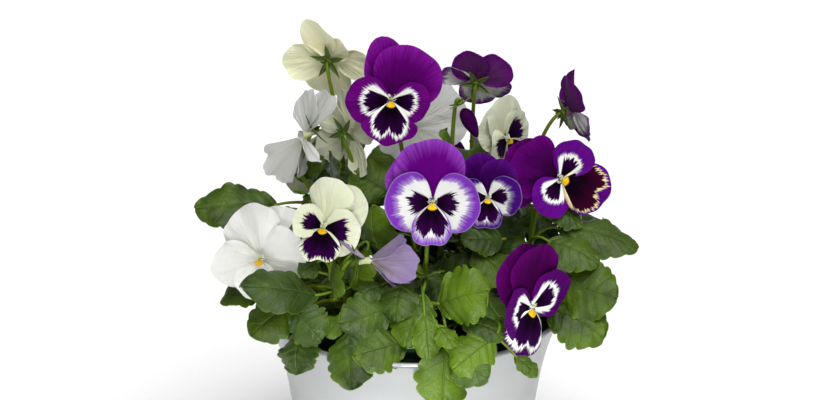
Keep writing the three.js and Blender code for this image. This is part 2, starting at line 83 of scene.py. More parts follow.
# The arch and the sag of a leaf's solid, and how its side veins slant and curve towards the tip.
LEAF_ARCH = 0.42
LEAF_SAG = 0.16
VEIN_SLANT = 0.19
VEIN_CURVE = 0.05

# How a leaf of the node stepped along the view, and rolled, to stand clear of other shoots.
VIEW_RISE = math.radians(25)
STEPS = (0, 3, -3, 6, -6, 9, -9, 12, -12, 15, -15, 18, -18)
ROLLS = (0, 14, -14, 30, -30, 50, -50)
TIP_MISS = 0.0004
LEAF_CROWDING = 3


def vec(x: float, y: float, z: float) -> Array:
    """Three numbers as a vector."""
    return np.array([x, y, z], dtype=float)


def unit(vector: Array) -> Array:
    """The vector at length 1."""
    return vector / np.linalg.norm(vector)


def above_rim(x: float, y: float, height: float) -> Array:
    """A place whose height is counted from the cover pot's rim."""
    return vec(x, y, POT_HEIGHT + height)


def turned_about(vector: Array, axis: Array, degrees: float) -> Array:
    """A vector turned about a unit axis by the right-hand rule.

    Args:
        vector: The vector.
        axis: The axis, at length 1.
        degrees: How far it is turned.

    Returns:
        The turned vector.
    """
    angle = math.radians(degrees)
    return (
        vector * math.cos(angle)
        + np.cross(axis, vector) * math.sin(angle)
        + axis * float(axis @ vector) * (1 - math.cos(angle))
    )


def bezier(points: Sequence[Array], shares: Sequence[float]) -> Array:
    """Places along a Bezier curve.

    Args:
        points: Its three or four control points.
        shares: How far along, 0 to 1.

    Returns:
        One row for each share.
    """
    degree = len(points) - 1
    shares = np.asarray(shares, dtype=float)[:, None]
    terms = [
        math.comb(degree, i) * (1 - shares) ** (degree - i) * shares**i * point
        for i, point in enumerate(points)
    ]
    return np.sum(terms, axis=0)


def wander(points: Array, scale: float, seed: float) -> Array:
    """A smooth, seeded unevenness from a few crossed waves.

    Args:
        points: The places, one in each row.
        scale: How close the waves lie.
        seed: Where they start.

    Returns:
        A number between about -1 and 1 for each place.
    """
    x, y, z = (points * scale).T
    total = np.sin(1.7 * x + 2.3 * y + seed) + np.sin(2.9 * y - 1.3 * z + 1.7 * seed)
    total += np.sin(2.1 * z + 1.9 * x + 2.3 * seed) + 0.5 * np.sin(5.3 * x - 4.1 * y + 3.1 * z + seed)
    return total / 3.0


class Variety(Enum):
    """The kinds of bloom on this plant."""

    VIOLET = "violet"
    CREAM = "cream"
    WHITE = "white"
    LILAC = "lilac"
    BUD = "bud"


class Role(Enum):
    """Where a petal sits on the bloom."""

    UPPER = "upper"
    SIDE = "side"
    LOWEST = "lowest"


@dataclass(frozen=True)
class Blade:
    """A leaf where it stands: its base and its tip, its width, and its roll in degrees."""

    base: Array
    tip: Array
    width: float
    roll: float

    @property
    def length(self) -> float:
        """How far its tip is from its base."""
        return float(np.linalg.norm(self.tip - self.base))

    def directions(self) -> tuple[Array, Array, Array]:
        """Its own directions.

        Returns:
            The ways along it, across it and out of its upper face.
        """
        along = unit(self.tip - self.base)
        outward = unit(vec(self.base[0], self.base[1], 0)) * 0.6 + UP
        across = turned_about(unit(np.cross(along, outward)), along, self.roll)
        normal = unit(np.cross(across, along))
        return along, np.cross(along, normal), normal


@dataclass(frozen=True)
class Leaf:
    """A leaf blade: base x, y and height above the rim, the same for its tip, width and roll in degrees."""

    base_x: float
    base_y: float
    base_h: float
    tip_x: float
    tip_y: float
    tip_h: float
    width: float
    roll: float = 0.0

    def placed(self, step: float = 0.0, roll: float = 0.0) -> Blade:
        """The leaf where it stands.

        Args:
            step: How far it stepped towards the viewer's up, in millimetres.
            roll: How far it rolled beyond its own roll, in degrees.

        Returns:
            The placed leaf.
        """
        shift = vec(0, -math.cos(VIEW_RISE), math.sin(VIEW_RISE)) * step
        base = above_rim(self.base_x, self.base_y, self.base_h) + shift
        tip = above_rim(self.tip_x, self.tip_y, self.tip_h) + shift
        return Blade(base, tip, self.width, self.roll + roll)


@dataclass(frozen=True)
class Facing:
    """A bloom's own directions: out of its face, and up and right as its viewer sees them."""

    face: Array
    up: Array
    right: Array

    def around(self, angle: float) -> Array:
        """The way out from the eye at an angle from the top, in radians."""
        return self.up * math.cos(angle) + self.right * math.sin(angle)


@dataclass(frozen=True)
class Bloom:
    """A bloom: its eye above the rim, the way it faces, its roll, its width and its kind.

    Cup folds all its petals forward. Ruffle is how far their rims wave, as a share of their
    length, where it differs from what is usual for the kind.
    """

    eye: Point
    turn: float
    rise: float
    roll: float
    width: float
    variety: Variety
    cup: float = 0.0
    ruffle: float | None = None

    @property
    def place(self) -> Array:
        """Where its eye is."""
        return above_rim(*self.eye)

    def facing(self) -> Facing:
        """Its own directions.

        Returns:
            The directions.
        """
        turn, rise, roll = (math.radians(angle) for angle in (self.turn, self.rise, self.roll))
        face = vec(math.sin(turn) * math.cos(rise), -math.cos(turn) * math.cos(rise), math.sin(rise))
        level = unit(np.cross(UP, face))
        upright = np.cross(face, level)
        up = upright * math.cos(roll) + level * math.sin(roll)
        return Facing(face, up, level * math.cos(roll) - upright * math.sin(roll))


@dataclass
class Shoot:
    """A leafy shoot: where its stem leaves the compost, where the stem ends, its leaves and its bloom."""

    name: str
    root: Pair
    top: Point
    leaves: list[Leaf] = field(default_factory=list)
    bloom: Bloom | None = None

    def distance(self, place: Point) -> float:
        """How far its stem's end is from a place above the rim, and farther for each leaf it has."""
        away = (there - here for there, here in zip(place, self.top))
        return math.hypot(*away) + LEAF_CROWDING * len(self.leaves)


@dataclass(frozen=True)
class Petal:
    """A petal: its angle from the top, length over the bloom's width, half spread, lift, depth and notch.

    Point draws its tip out, fold turns both of its sides forward, tilt turns one side forward and the
    other back, curl rolls its rim back, and roundness is small on a broad, blunt petal.
    """

    angle: float
    length: float
    spread: float
    lift: float
    depth: float
    notch: float = 0.0
    point: float = 0.0
    fold: float = 0.0
    tilt: float = 0.0
    curl: float = 0.0
    roundness: float = 0.35


@dataclass(frozen=True)
class Tier:
    """A ring of leaves: its angles, its count, base and tip as radius and height, and the leaf width."""

    start: float
    end: float
    count: int
    base: Pair
    tip: Pair
    width: float

    def leaf(self, level: int, index: int) -> Leaf:
        """One leaf of the ring, which differs a little from the next by repeatable draws.

        Args:
            level: The ring's number.
            index: The leaf's number in the ring.

        Returns:
            The leaf.
        """
        swing, growth, base_step, tip_step, roll = (
            math.fmod(math.sin(12.9898 * (index + 1) + 3 * level + salt) * 43758.5453, 1)
            for salt in range(1, 6)
        )
        angle = math.radians(self.start + (self.end - self.start) * (index + 0.5) / self.count)
        way = angle + math.radians(9 * swing)
        size = 1 + 0.12 * growth
        reach = (self.tip[0] - self.base[0]) * size
        x, y = self.base[0] * math.cos(angle), self.base[0] * math.sin(angle)
        return Leaf(
            x, y, self.base[1] + 4 * base_step,
            x + reach * math.cos(way), y + reach * math.sin(way), self.tip[1] + 5 * tip_step,
            self.width * size, 12 * roll,
        )


SHOOTS = [
    Shoot("white_left", (-42, -20), (-76, -32, 24), [
        Leaf(-91, -32, 20, -123, -44, 14, 26, -12), Leaf(-72, -62, 24, -101, -80, 8, 30, -30),
    ], Bloom((-96, -45, 45), -12, 24, 6, 58, Variety.WHITE, ruffle=0.080)),
    Shoot("white_tall", (-44, 8), (-73, 2, 84), [
        Leaf(-88, -5, 65, -140, -14, 66, 35, -40), Leaf(-66, -4, 71, -76, -8, 77, 9),
        Leaf(-72, 5, 80, -58, 8, 94, 15, 40), Leaf(-46, 4, 70, -54, 12, 96, 26, -20),
    ], Bloom((-70, 2, 110), -78, -34, 0, 54, Variety.WHITE)),
    Shoot("cream_front", (-24, -28), (-52, -48, 34), [
        Leaf(-59, -72, 32, -105, -88, 46, 32, -14), Leaf(-74, -80, 26, -56, -94, 12, 27, 20),
        Leaf(-70, -88, 14, -72, -102, -8, 32, -4), Leaf(-49, -58, 50, -47, -72, 30, 19),
        Leaf(-59, -54, 47, -71, -62, 42, 15), Leaf(-28, -48, 54, -35, -60, 30, 24, 20),
    ], Bloom((-55, -62, 74), -14, 14, 8, 50, Variety.CREAM, ruffle=0.038)),
    Shoot("cream_tall", (-26, 24), (-46, 32, 68), [
        Leaf(-48, 26, 76, -66, 40, 92, 24),
    ], Bloom((-52, 38, 151), 158, 6, -14, 54, Variety.CREAM)),
    Shoot("cream_middle", (-10, 6), (-34, 6, 60), [
        Leaf(-12, -8, 72, -40, 0, 86, 32, -18), Leaf(-20, -36, 44, -26, -26, 74, 28, -30),
    ], Bloom((-40, 10, 110), 140, -8, 26, 52, Variety.CREAM)),
    Shoot("violet_top", (4, 0), (-4, 0, 62), [
        Leaf(-2, 8, 70, 10, 26, 84, 26),
    ], Bloom((-14, -2, 136), 6, 12, 20, 62, Variety.VIOLET)),
    Shoot("white_middle", (4, 26), (2, 32, 50), [], Bloom((-1, 30, 105), 12, 22, 42, 62, Variety.WHITE)),
    Shoot("violet_front", (4, -26), (8, -50, 36), [
        Leaf(6, -74, 34, -5, -96, 8, 28, 6), Leaf(15, -78, 29, 47, -90, 44, 36, 34),
        Leaf(7, -86, 27, 10, -102, 2, 18), Leaf(15, -90, 20, 25, -104, 12, 14),
        Leaf(20, -92, 10, 18, -114, -27, 34, -6), Leaf(22, -98, 6, 46, -114, -4, 24, 24),
        Leaf(-7, -70, 42, -11, -88, 22, 25),
    ], Bloom((12, -60, 90), 0, 14, 0, 62, Variety.VIOLET, ruffle=0.026)),
    Shoot("left_low", (-20, -46), (-28, -64, 12), [
        Leaf(-39, -88, 16, -38, -108, -15, 31), Leaf(-12, -78, 28, -45, -92, 22, 29, -26),
        Leaf(-41, -74, 20, -54, -84, 10, 16), Leaf(-18, -66, 37, -35, -78, 32, 15),
        Leaf(-4, -90, 10, -38, -104, 6, 31, -30),
    ]),
    Shoot("lilac_left", (-40, -44), (-46, -64, 36), [],
          Bloom((-27, -74, 57), 78, 6, -30, 50, Variety.LILAC, cup=54)),
    Shoot("right_low", (24, -44), (34, -66, 10), [
        Leaf(30, -84, 20, 57, -94, 15, 22, 24), Leaf(50, -90, 12, 24, -106, -2, 28, -20),
        Leaf(40, -70, 32, 56, -80, 15, 22, 10), Leaf(62, -94, 2, 76, -102, -8, 13),
    ]),
    Shoot("violet_low", (42, -36), (60, -52, 14), [
        Leaf(86, -58, 18, 120, -76, 4, 36, 30), Leaf(93, -46, 30, 128, -60, 24, 38, 24),
    ], Bloom((73, -76, 26), 47, 2, 24, 66, Variety.VIOLET)),
    Shoot("violet_small", (24, -20), (42, -32, 44), [
        Leaf(38, -48, 53, 62, -62, 34, 30), Leaf(57, -42, 57, 30, -54, 62, 22, -12),
    ], Bloom((47, -38, 84), -6, 14, 0, 42, Variety.VIOLET, ruffle=0.026)),
    Shoot("violet_right", (46, -10), (76, -18, 44), [
        Leaf(85, -38, 54, 116, -52, 44, 26, 26), Leaf(92, -22, 56, 143, -32, 46, 30, 24),
        Leaf(85, -18, 72, 108, -28, 60, 22, 14),
    ], Bloom((93, -22, 90), 20, 8, -54, 62, Variety.VIOLET)),
    Shoot("violet_far", (48, 14), (76, 6, 70), [
        Leaf(84, 10, 52, 124, 20, 44, 32), Leaf(74, 26, 66, 98, 46, 62, 30),
    ], Bloom((102, 5, 126), 118, 2, 6, 48, Variety.VIOLET)),
    Shoot("cream_right", (24, 8), (44, 10, 62), [
        Leaf(46, 24, 68, 58, 46, 76, 26),
    ], Bloom((60, 8, 106), 50, 4, -24, 44, Variety.CREAM)),
    Shoot("violet_back", (28, 32), (38, 28, 72), [
        Leaf(34, 2, 92, 47, 6, 103, 15),
    ], Bloom((41, 22, 142), 172, 12, 4, 48, Variety.VIOLET)),
    Shoot("budding", (14, -8), (24, -6, 66), [
        Leaf(25, -5, 91, 20, 2, 115, 19, 10),
    ], Bloom((33, -6, 128), 75, -62, 0, 28, Variety.BUD)),
    Shoot("rear_cream", (-28, 50), (-48, 62, 22), [], Bloom((-60, 84, 54), 212, 22, 8, 56, Variety.CREAM)),
    Shoot("rear_violet", (0, 56), (4, 72, 20), [], Bloom((6, 98, 52), 176, 24, -10, 56, Variety.VIOLET)),
    Shoot("rear_white", (32, 50), (52, 62, 22), [], Bloom((64, 82, 56), 146, 22, 6, 54, Variety.WHITE)),
    Shoot("rear_left", (-56, 24), (-80, 30, 34)),
    Shoot("rear_right", (56, 30), (82, 34, 34)),
]

# The roles of a bloom's petals, from the hindmost layer to the front one, and their usual forms.
PETAL_ROLES = (Role.UPPER, Role.UPPER, Role.SIDE, Role.SIDE, Role.LOWEST)
PETALS = (
    Petal(-19, 0.65, 76, 4, -2.7), Petal(19, 0.64, 76, 5, -1.4),
    Petal(-92, 0.49, 80, 9, 0.0), Petal(92, 0.50, 80, 9, 0.2),
    Petal(180, 0.44, 54, 13, 1.6, 0.12),
)

# Blooms whose petals have forms of their own.
OWN_PETALS = {
    "violet_front": (
        Petal(-34, 0.60, 72, 3, -2.9, tilt=0.05), Petal(-4, 0.62, 70, 5, -1.4, fold=0.04),
        Petal(-92, 0.49, 80, 9, 0.0, tilt=0.05), Petal(92, 0.50, 80, 9, 0.2, tilt=-0.05),
        Petal(180, 0.45, 50, 13, 1.6, notch=0.08),
    ),
    "violet_top": (
        Petal(-26, 0.52, 72, 1, -3.8, point=0.26, fold=-0.12, roundness=0.8),
        Petal(14, 0.61, 76, 6, -1.2, fold=0.05),
        Petal(-112, 0.47, 66, 12, 0.4, tilt=0.10), Petal(80, 0.41, 64, 12, 0.6, tilt=-0.10),
        Petal(166, 0.44, 50, 10, 1.8, notch=-0.08, roundness=0.06),
    ),
    "violet_right": (
        Petal(-20, 0.66, 54, 2, -3.1, roundness=0.18),
        Petal(-4, 0.61, 54, 6, -1.6, fold=0.10, roundness=0.2),
        Petal(-88, 0.43, 70, 14, 0.4, tilt=0.08),
        Petal(84, 0.48, 52, 16, -0.2, tilt=0.22, roundness=0.28),
        Petal(172, 0.54, 54, 12, 1.6, curl=0.06, roundness=0.3),
    ),
    "violet_low": (
        Petal(-36, 0.63, 66, 2, -2.9, fold=-0.06), Petal(-10, 0.65, 64, 5, -1.4, fold=0.06),
        Petal(-110, 0.49, 66, 11, 0.2, tilt=0.05), Petal(50, 0.49, 62, 10, 0.4, tilt=-0.12),
        Petal(180, 0.48, 66, 9, 1.6, curl=0.08, roundness=0.3),
    ),
    "violet_small": (
        Petal(-22, 0.66, 56, 2, -2.9), Petal(24, 0.60, 54, 6, -1.4),
        Petal(-94, 0.50, 74, 9, 0.0, tilt=0.06), Petal(84, 0.51, 74, 9, 0.3, tilt=-0.06),
        Petal(180, 0.50, 52, 12, 1.6, notch=0.08, roundness=0.3),
    ),
    "violet_back": (
        Petal(-60, 0.56, 56, -2, -2.9, fold=0.10, tilt=0.12),
        Petal(12, 0.52, 62, -6, -1.6, fold=-0.16, curl=0.10),
        Petal(66, 0.52, 34, -8, -0.8, tilt=0.2, curl=0.12), Petal(-118, 0.48, 44, 6, 0.0, tilt=-0.15),
        Petal(178, 0.43, 72, 6, 1.4, roundness=0.3),
    ),
    "violet_far": (
        Petal(-22, 0.56, 62, -10, -2.6, fold=0.30), Petal(20, 0.58, 62, 18, -1.4, fold=-0.22, tilt=0.2),
        Petal(-132, 0.44, 42, 6, 0.0, fold=0.2), Petal(116, 0.46, 52, 12, 0.2, tilt=0.2),
        Petal(178, 0.50, 44, 24, 1.6, fold=-0.2, roundness=0.3),
    ),
    "white_left": (
        Petal(16, 0.66, 50, -2, -5.2, tilt=0.10),
        Petal(-30, 0.63, 56, 8, -2.2, fold=0.18, tilt=-0.08, roundness=0.26),
        Petal(-112, 0.51, 60, 15, 1.6, tilt=0.16), Petal(64, 0.56, 74, 9, -0.4, tilt=-0.20),
        Petal(176, 0.47, 64, 16, 2.6, fold=-0.05),
    ),
    "white_tall": (
        Petal(-8, 0.50, 42, -34, -2.0, tilt=-0.75, roundness=0.25),
        Petal(14, 0.58, 40, -54, -2.6, tilt=-0.75, roundness=0.25),
        Petal(-130, 0.80, 28, 56, 0.0, fold=0.10, tilt=-0.05, roundness=0.08),
        Petal(98, 0.50, 56, 6, 0.2),
        Petal(174, 0.46, 44, 36, 1.4, tilt=-0.5),
    ),
    "cream_front": (
        Petal(38, 0.60, 60, 0, -4.2), Petal(4, 0.67, 50, 16, -1.8, curl=0.16, roundness=0.28),
        Petal(-76, 0.41, 64, 24, 0.2, tilt=-0.18), Petal(88, 0.50, 74, 9, 0.8, tilt=-0.06),
        Petal(176, 0.48, 64, 12, 1.9, notch=0.16, roundness=0.3),
    ),
    "cream_tall": (
        Petal(-24, 0.35, 54, -6, -3.4, fold=0.16, curl=0.10),
        Petal(38, 0.47, 66, -8, -2.2, point=0.22, fold=-0.30, roundness=0.7),
        Petal(-86, 0.46, 46, 4, 0.0, curl=0.08, roundness=0.3),
        Petal(112, 0.60, 50, -7, -1.0, point=0.06, fold=0.14, curl=0.12, roundness=0.42),
        Petal(152, 0.58, 80, 8, 1.6, roundness=0.3),
    ),
    "cream_middle": (
        Petal(-18, 0.52, 42, -2, -3.0, fold=0.30, roundness=0.3),
        Petal(36, 0.46, 50, -5, -1.6, fold=-0.2),
        Petal(-102, 0.44, 46, 2, 0.0, fold=-0.18),
        Petal(106, 0.50, 46, -8, -0.8, fold=0.1, curl=0.12, roundness=0.22),
        Petal(-172, 0.62, 24, -2, 0.8, fold=0.2, curl=0.10, roundness=0.26),
    ),
    "lilac_left": (
        Petal(24, 0.62, 34, 8, -0.4, roundness=0.10),
        Petal(14, 0.40, 13, -98, -0.8, fold=0.8, roundness=0.4),
        Petal(-62, 0.70, 27, 28, 0.2, point=-0.07, fold=-0.12, roundness=0.05),
        Petal(-150, 0.46, 13, -16, 0.8, fold=0.8, roundness=0.3),
        Petal(-158, 0.60, 30, 10, 0.4, roundness=0.12),
    ),
}

# How far the rims of a bloom's petals usually wave, as a share of their length.
RUFFLES = {
    Variety.VIOLET: 0.034,
    Variety.CREAM: 0.048,
    Variety.WHITE: 0.06,
    Variety.LILAC: 0.03,
    Variety.BUD: 0.034,
}

# Leaves deep in the bush that close gaps between the shoots, and the rings of leaves round it.
FILLERS = {
    "violet_right": (
        Leaf(74, -10, 40, 92, -2, 50, 24, 10), Leaf(62, -12, 34, 74, -30, 40, 22, -10),
        Leaf(84, -14, 32, 100, -30, 36, 22), Leaf(86, -4, 48, 104, -10, 58, 22),
        Leaf(66, -4, 50, 80, 8, 58, 20, 20),
    ),
    "rear_right": (Leaf(72, 22, 40, 90, 4, 46, 28), Leaf(92, 20, 30, 112, 6, 34, 26, -20)),
    "cream_middle": (Leaf(-24, 2, 66, -12, -10, 80, 22), Leaf(-46, 4, 62, -62, -6, 72, 22)),
}

TIERS = (
    Tier(-10, 190, 7, (84, 12), (124, -8), 42),
    Tier(8, 172, 6, (63, 42), (105, 38), 40),
    Tier(30, 150, 4, (38, 66), (76, 80), 34),
    Tier(202, 340, 6, (34, 36), (64, 14), 31),
)


def link(item: Piece) -> None:
    """Puts an object in the scene."""
    bpy.context.scene.collection.objects.link(item)


def select_none() -> None:
    """Deselects every object and leaves edit mode."""
    if bpy.context.object and bpy.context.object.mode != "OBJECT":
        bpy.ops.object.mode_set(mode="OBJECT")
    bpy.ops.object.select_all(action="DESELECT")


def select_only(*pieces: Piece) -> None:
    """Selects only some pieces.

    Args:
        pieces: The pieces, of which the first becomes the active one.
    """
    select_none()
    for piece in pieces:
        piece.select_set(True)
    bpy.context.view_layer.objects.active = pieces[0]


def apply_modifier(piece: Piece, kind: str, **settings: object) -> None:
    """Adds a modifier to a piece and applies it.

    Args:
        piece: The piece, which becomes the active object.
        kind: The modifier's type.
        settings: The modifier's settings.
    """
    select_only(piece)
    modifier = piece.modifiers.new(kind.title(), kind)
    for name, value in settings.items():
        setattr(modifier, name, value)
    bpy.ops.object.modifier_apply(modifier=modifier.name)


def thicken(piece: Piece, thickness: float, back: int = 0) -> None:
    """Gives a sheet its thickness behind its face. Its back wears the material back slots further on."""
    apply_modifier(piece, "SOLIDIFY", thickness=thickness * MM, offset=-1.0, material_offset=back)


def join(pieces: Sequence[Piece], name: str) -> Piece:
    """Joins pieces into the first one.

    Args:
        pieces: The pieces, of which the first stays.
        name: The joined piece's name.

    Returns:
        The joined piece.
    """
    select_only(*pieces)
    if len(pieces) > 1:
        bpy.ops.object.join()
    pieces[0].name = name
    pieces[0].data.name = name
    return pieces[0]


def weld(piece: Piece, distance: float = 1e-6, outward: bool = False) -> None:
    """Merges a piece's doubled points.

    Args:
        piece: The piece.
        distance: How near doubled points lie, in metres.
        outward: Whether its faces are turned to point out as well.
    """
    select_only(piece)
    bpy.ops.object.mode_set(mode="EDIT")
    bpy.ops.mesh.select_all(action="SELECT")
    bpy.ops.mesh.remove_doubles(threshold=distance)
    if outward:
        bpy.ops.mesh.normals_make_consistent(inside=False)
    bpy.ops.object.mode_set(mode="OBJECT")


def soften(piece: Piece, degrees: float) -> None:
    """Shades a piece smooth, except where its faces turn by more than an angle."""
    select_only(piece)
    bpy.ops.object.shade_smooth_by_angle(angle=math.radians(degrees))


def mark(piece: Piece, **numbers: float | Array) -> None:
    """Writes numbers on the points of a piece, for its material to read.

    Args:
        piece: The piece.
        numbers: Under each attribute's name, one number for all points or one for each.
    """
    for name, values in numbers.items():
        spread = np.broadcast_to(np.asarray(values, dtype=np.float32), (len(piece.data.vertices),))
        layer = piece.data.attributes.get(name) or piece.data.attributes.new(name, "FLOAT", "POINT")
        layer.data.foreach_set("value", np.ascontiguousarray(spread))


def wear(piece: Piece, *materials: Material) -> None:
    """Gives a piece its materials, in place of any that it has.

    Args:
        piece: The piece.
        materials: The materials, in the order of its slots.
    """
    piece.data.materials.clear()
    for material in materials:
        piece.data.materials.append(material)


def corners_of(piece: Piece) -> Array:
    """The corners of a piece.

    Args:
        piece: The piece.

    Returns:
        One row for each corner, in metres.
    """
    flat = np.empty(3 * len(piece.data.vertices))
    piece.data.vertices.foreach_get("co", flat)
    return flat.reshape(-1, 3)


def tree_of(places: Sequence[Vector]) -> KDTree:
    """A search tree of places.

    Args:
        places: The places, in metres.

    Returns:
        The tree, which finds the nearest of them.
    """
    tree = KDTree(len(places))
    for i, place in enumerate(places):
        tree.insert(place, i)
    tree.balance()
    return tree


def settle_piece(piece: Piece, slot: str, *nodes: str) -> None:
    """Makes a piece ride on the planter and stand for its nodes.

    Args:
        piece: The finished piece.
        slot: The record's material slot; not used.
        nodes: The nodes that it replaces.
    """
    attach(piece, BODY)
    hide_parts(*nodes)
    log.info("%s: %d faces", piece.name, len(piece.data.polygons))


@dataclass
class Sheet:
    """A flat grid that is modelled once; each copy is then shaped to its own place."""

    name: str
    columns: int
    rows: int

    def build(self) -> None:
        """Adds the grid primitive that the copies are made from."""
        select_none()
        bpy.ops.mesh.primitive_grid_add(
            x_subdivisions=self.columns, y_subdivisions=self.rows, size=1.0, calc_uvs=True
        )
        self.template = bpy.context.object
        self.template.name = self.name
        self.template.data.uv_layers[0].name = "blade"
        grid = corners_of(self.template)
        self.across = 2 * grid[:, 0]
        self.along = grid[:, 1] + 0.5

    def copy(
        self, name: str, base: Array, ways: Sequence[Array], run: Array, side: Array, rise: Array
    ) -> Piece:
        """A copy with a mesh of its own, shaped along three ways.

        Args:
            name: The copy's name.
            base: The place that it starts from, in millimetres.
            ways: The ways along it, across it and out of its face.
            run: How far each point lies along it, in millimetres.
            side: How far each lies across it.
            rise: How far each lies out of its face.

        Returns:
            The copy.
        """
        along, across, normal = ways
        places = base + np.outer(run, along)
        places += np.outer(side, across) + np.outer(rise, normal)
        piece = self.template.copy()
        piece.data = self.template.data.copy()
        piece.name = name
        link(piece)
        piece.data.vertices.foreach_set("co", (places * MM).ravel())
        piece.data.update()
        return piece

    def discard(self) -> None:
        """Removes the flat grid once every copy is made."""
        bpy.data.objects.remove(self.template, do_unlink=True)


@dataclass
class Twigs:
    """Round stalks of one piece, each a smooth line of points that grows thinner along its way."""

    name: str
    bevel_steps: int = 2

    def __post_init__(self) -> None:
        """Starts the curve that the stalks are drawn in."""
        self.curve = bpy.data.curves.new(self.name, "CURVE")
        self.curve.dimensions = "3D"
        self.curve.bevel_depth = MM
        self.curve.bevel_resolution = self.bevel_steps
        self.curve.use_fill_caps = True

    def add(self, places: Sequence[Array], radii: Sequence[float]) -> None:
        """Adds a stalk.

        Args:
            places: Its middle line, in millimetres.
            radii: Its radius at each place, in millimetres.
        """
        spline = self.curve.splines.new("POLY")
        spline.points.add(len(places) - 1)
        for point, place, radius in zip(spline.points, places, radii):
            point.co = (*(place * MM), 1.0)
            point.radius = radius

    def mesh(self) -> Piece:
        """Turns the drawn stalks into a mesh.

        Returns:
            The stalks as one piece.
        """
        piece = bpy.data.objects.new(self.name, self.curve)
        link(piece)
        select_only(piece)
        bpy.ops.object.convert(target="MESH")
        mark(piece, tone=0.0)
        return bpy.context.object


def lathe(name: str, profile: Sequence[Pair], sides: int) -> Piece:
    """Turns an outline round the Z axis.

    Args:
        name: The piece's name.
        profile: Radius and height pairs in millimetres, from the axis and back to it.
        sides: How many steps go round.

    Returns:
        The closed piece.
    """
    select_none()
    bpy.ops.mesh.primitive_circle_add(vertices=len(profile), radius=1.0)
    piece = bpy.context.object
    piece.name = name
    for vertex, (radius, height) in zip(piece.data.vertices, profile):
        vertex.co = (radius * MM, 0.0, height * MM)
    bpy.ops.object.mode_set(mode="EDIT")
    bpy.ops.mesh.select_all(action="DESELECT")
    bpy.ops.mesh.select_mode(type="EDGE")
    bpy.ops.object.mode_set(mode="OBJECT")
    last = len(profile) - 1
    for edge in piece.data.edges:
        edge.select = set(edge.vertices) == {0, last}
    bpy.ops.object.mode_set(mode="EDIT")
    bpy.ops.mesh.delete(type="EDGE_FACE")
    bpy.ops.mesh.select_mode(type="VERT")
    bpy.ops.mesh.select_all(action="SELECT")
    bpy.ops.mesh.spin(steps=sides, angle=math.tau, center=(0, 0, 0), axis=(0, 0, 1))
    bpy.ops.object.mode_set(mode="OBJECT")
    weld(piece, distance=1e-5, outward=True)
    return piece


class Value:
    """A number that flows through a material and is used in sums like a plain one."""

    def __init__(self, nodes: Nodes, socket: Socket) -> None:
        """Wraps an output socket of a material's nodes."""
        self.nodes = nodes
        self.socket = socket

    def math(self, operation: str, *others: Value | float, clamp: bool = False) -> Value:
        """A Math node of this value.

        Args:
            operation: The node's operation.
            others: Its further inputs.
            clamp: Whether the result is held between 0 and 1.

        Returns:
            The node's result.
        """
        settings = {"operation": operation, "use_clamp": clamp}
        inputs = dict(enumerate((self, *others)))
        return self.nodes.value("ShaderNodeMath", settings, inputs)

    def __add__(self, other: Value | float) -> Value:
        """This value plus another."""
        return self.math("ADD", other)

    __radd__ = __add__

    def __sub__(self, other: Value | float) -> Value:
        """This value less another."""
        return self.math("SUBTRACT", other)

    def __rsub__(self, other: float) -> Value:
        """A plain number less this value."""
        return self.math("MULTIPLY_ADD", -1.0, other)

    def __mul__(self, other: Value | float) -> Value:
        """This value times another."""
        return self.math("MULTIPLY", other)

    __rmul__ = __mul__

    def __abs__(self) -> Value:
        """This value without its sign."""
        return self.math("ABSOLUTE")

    def past(self, edge: Value | float, width: float) -> Value:
        """0 below an edge and 1 above it, over a width centred on the edge."""
        return ((self - edge) * (1 / width)).math("ADD", 0.5, clamp=True)


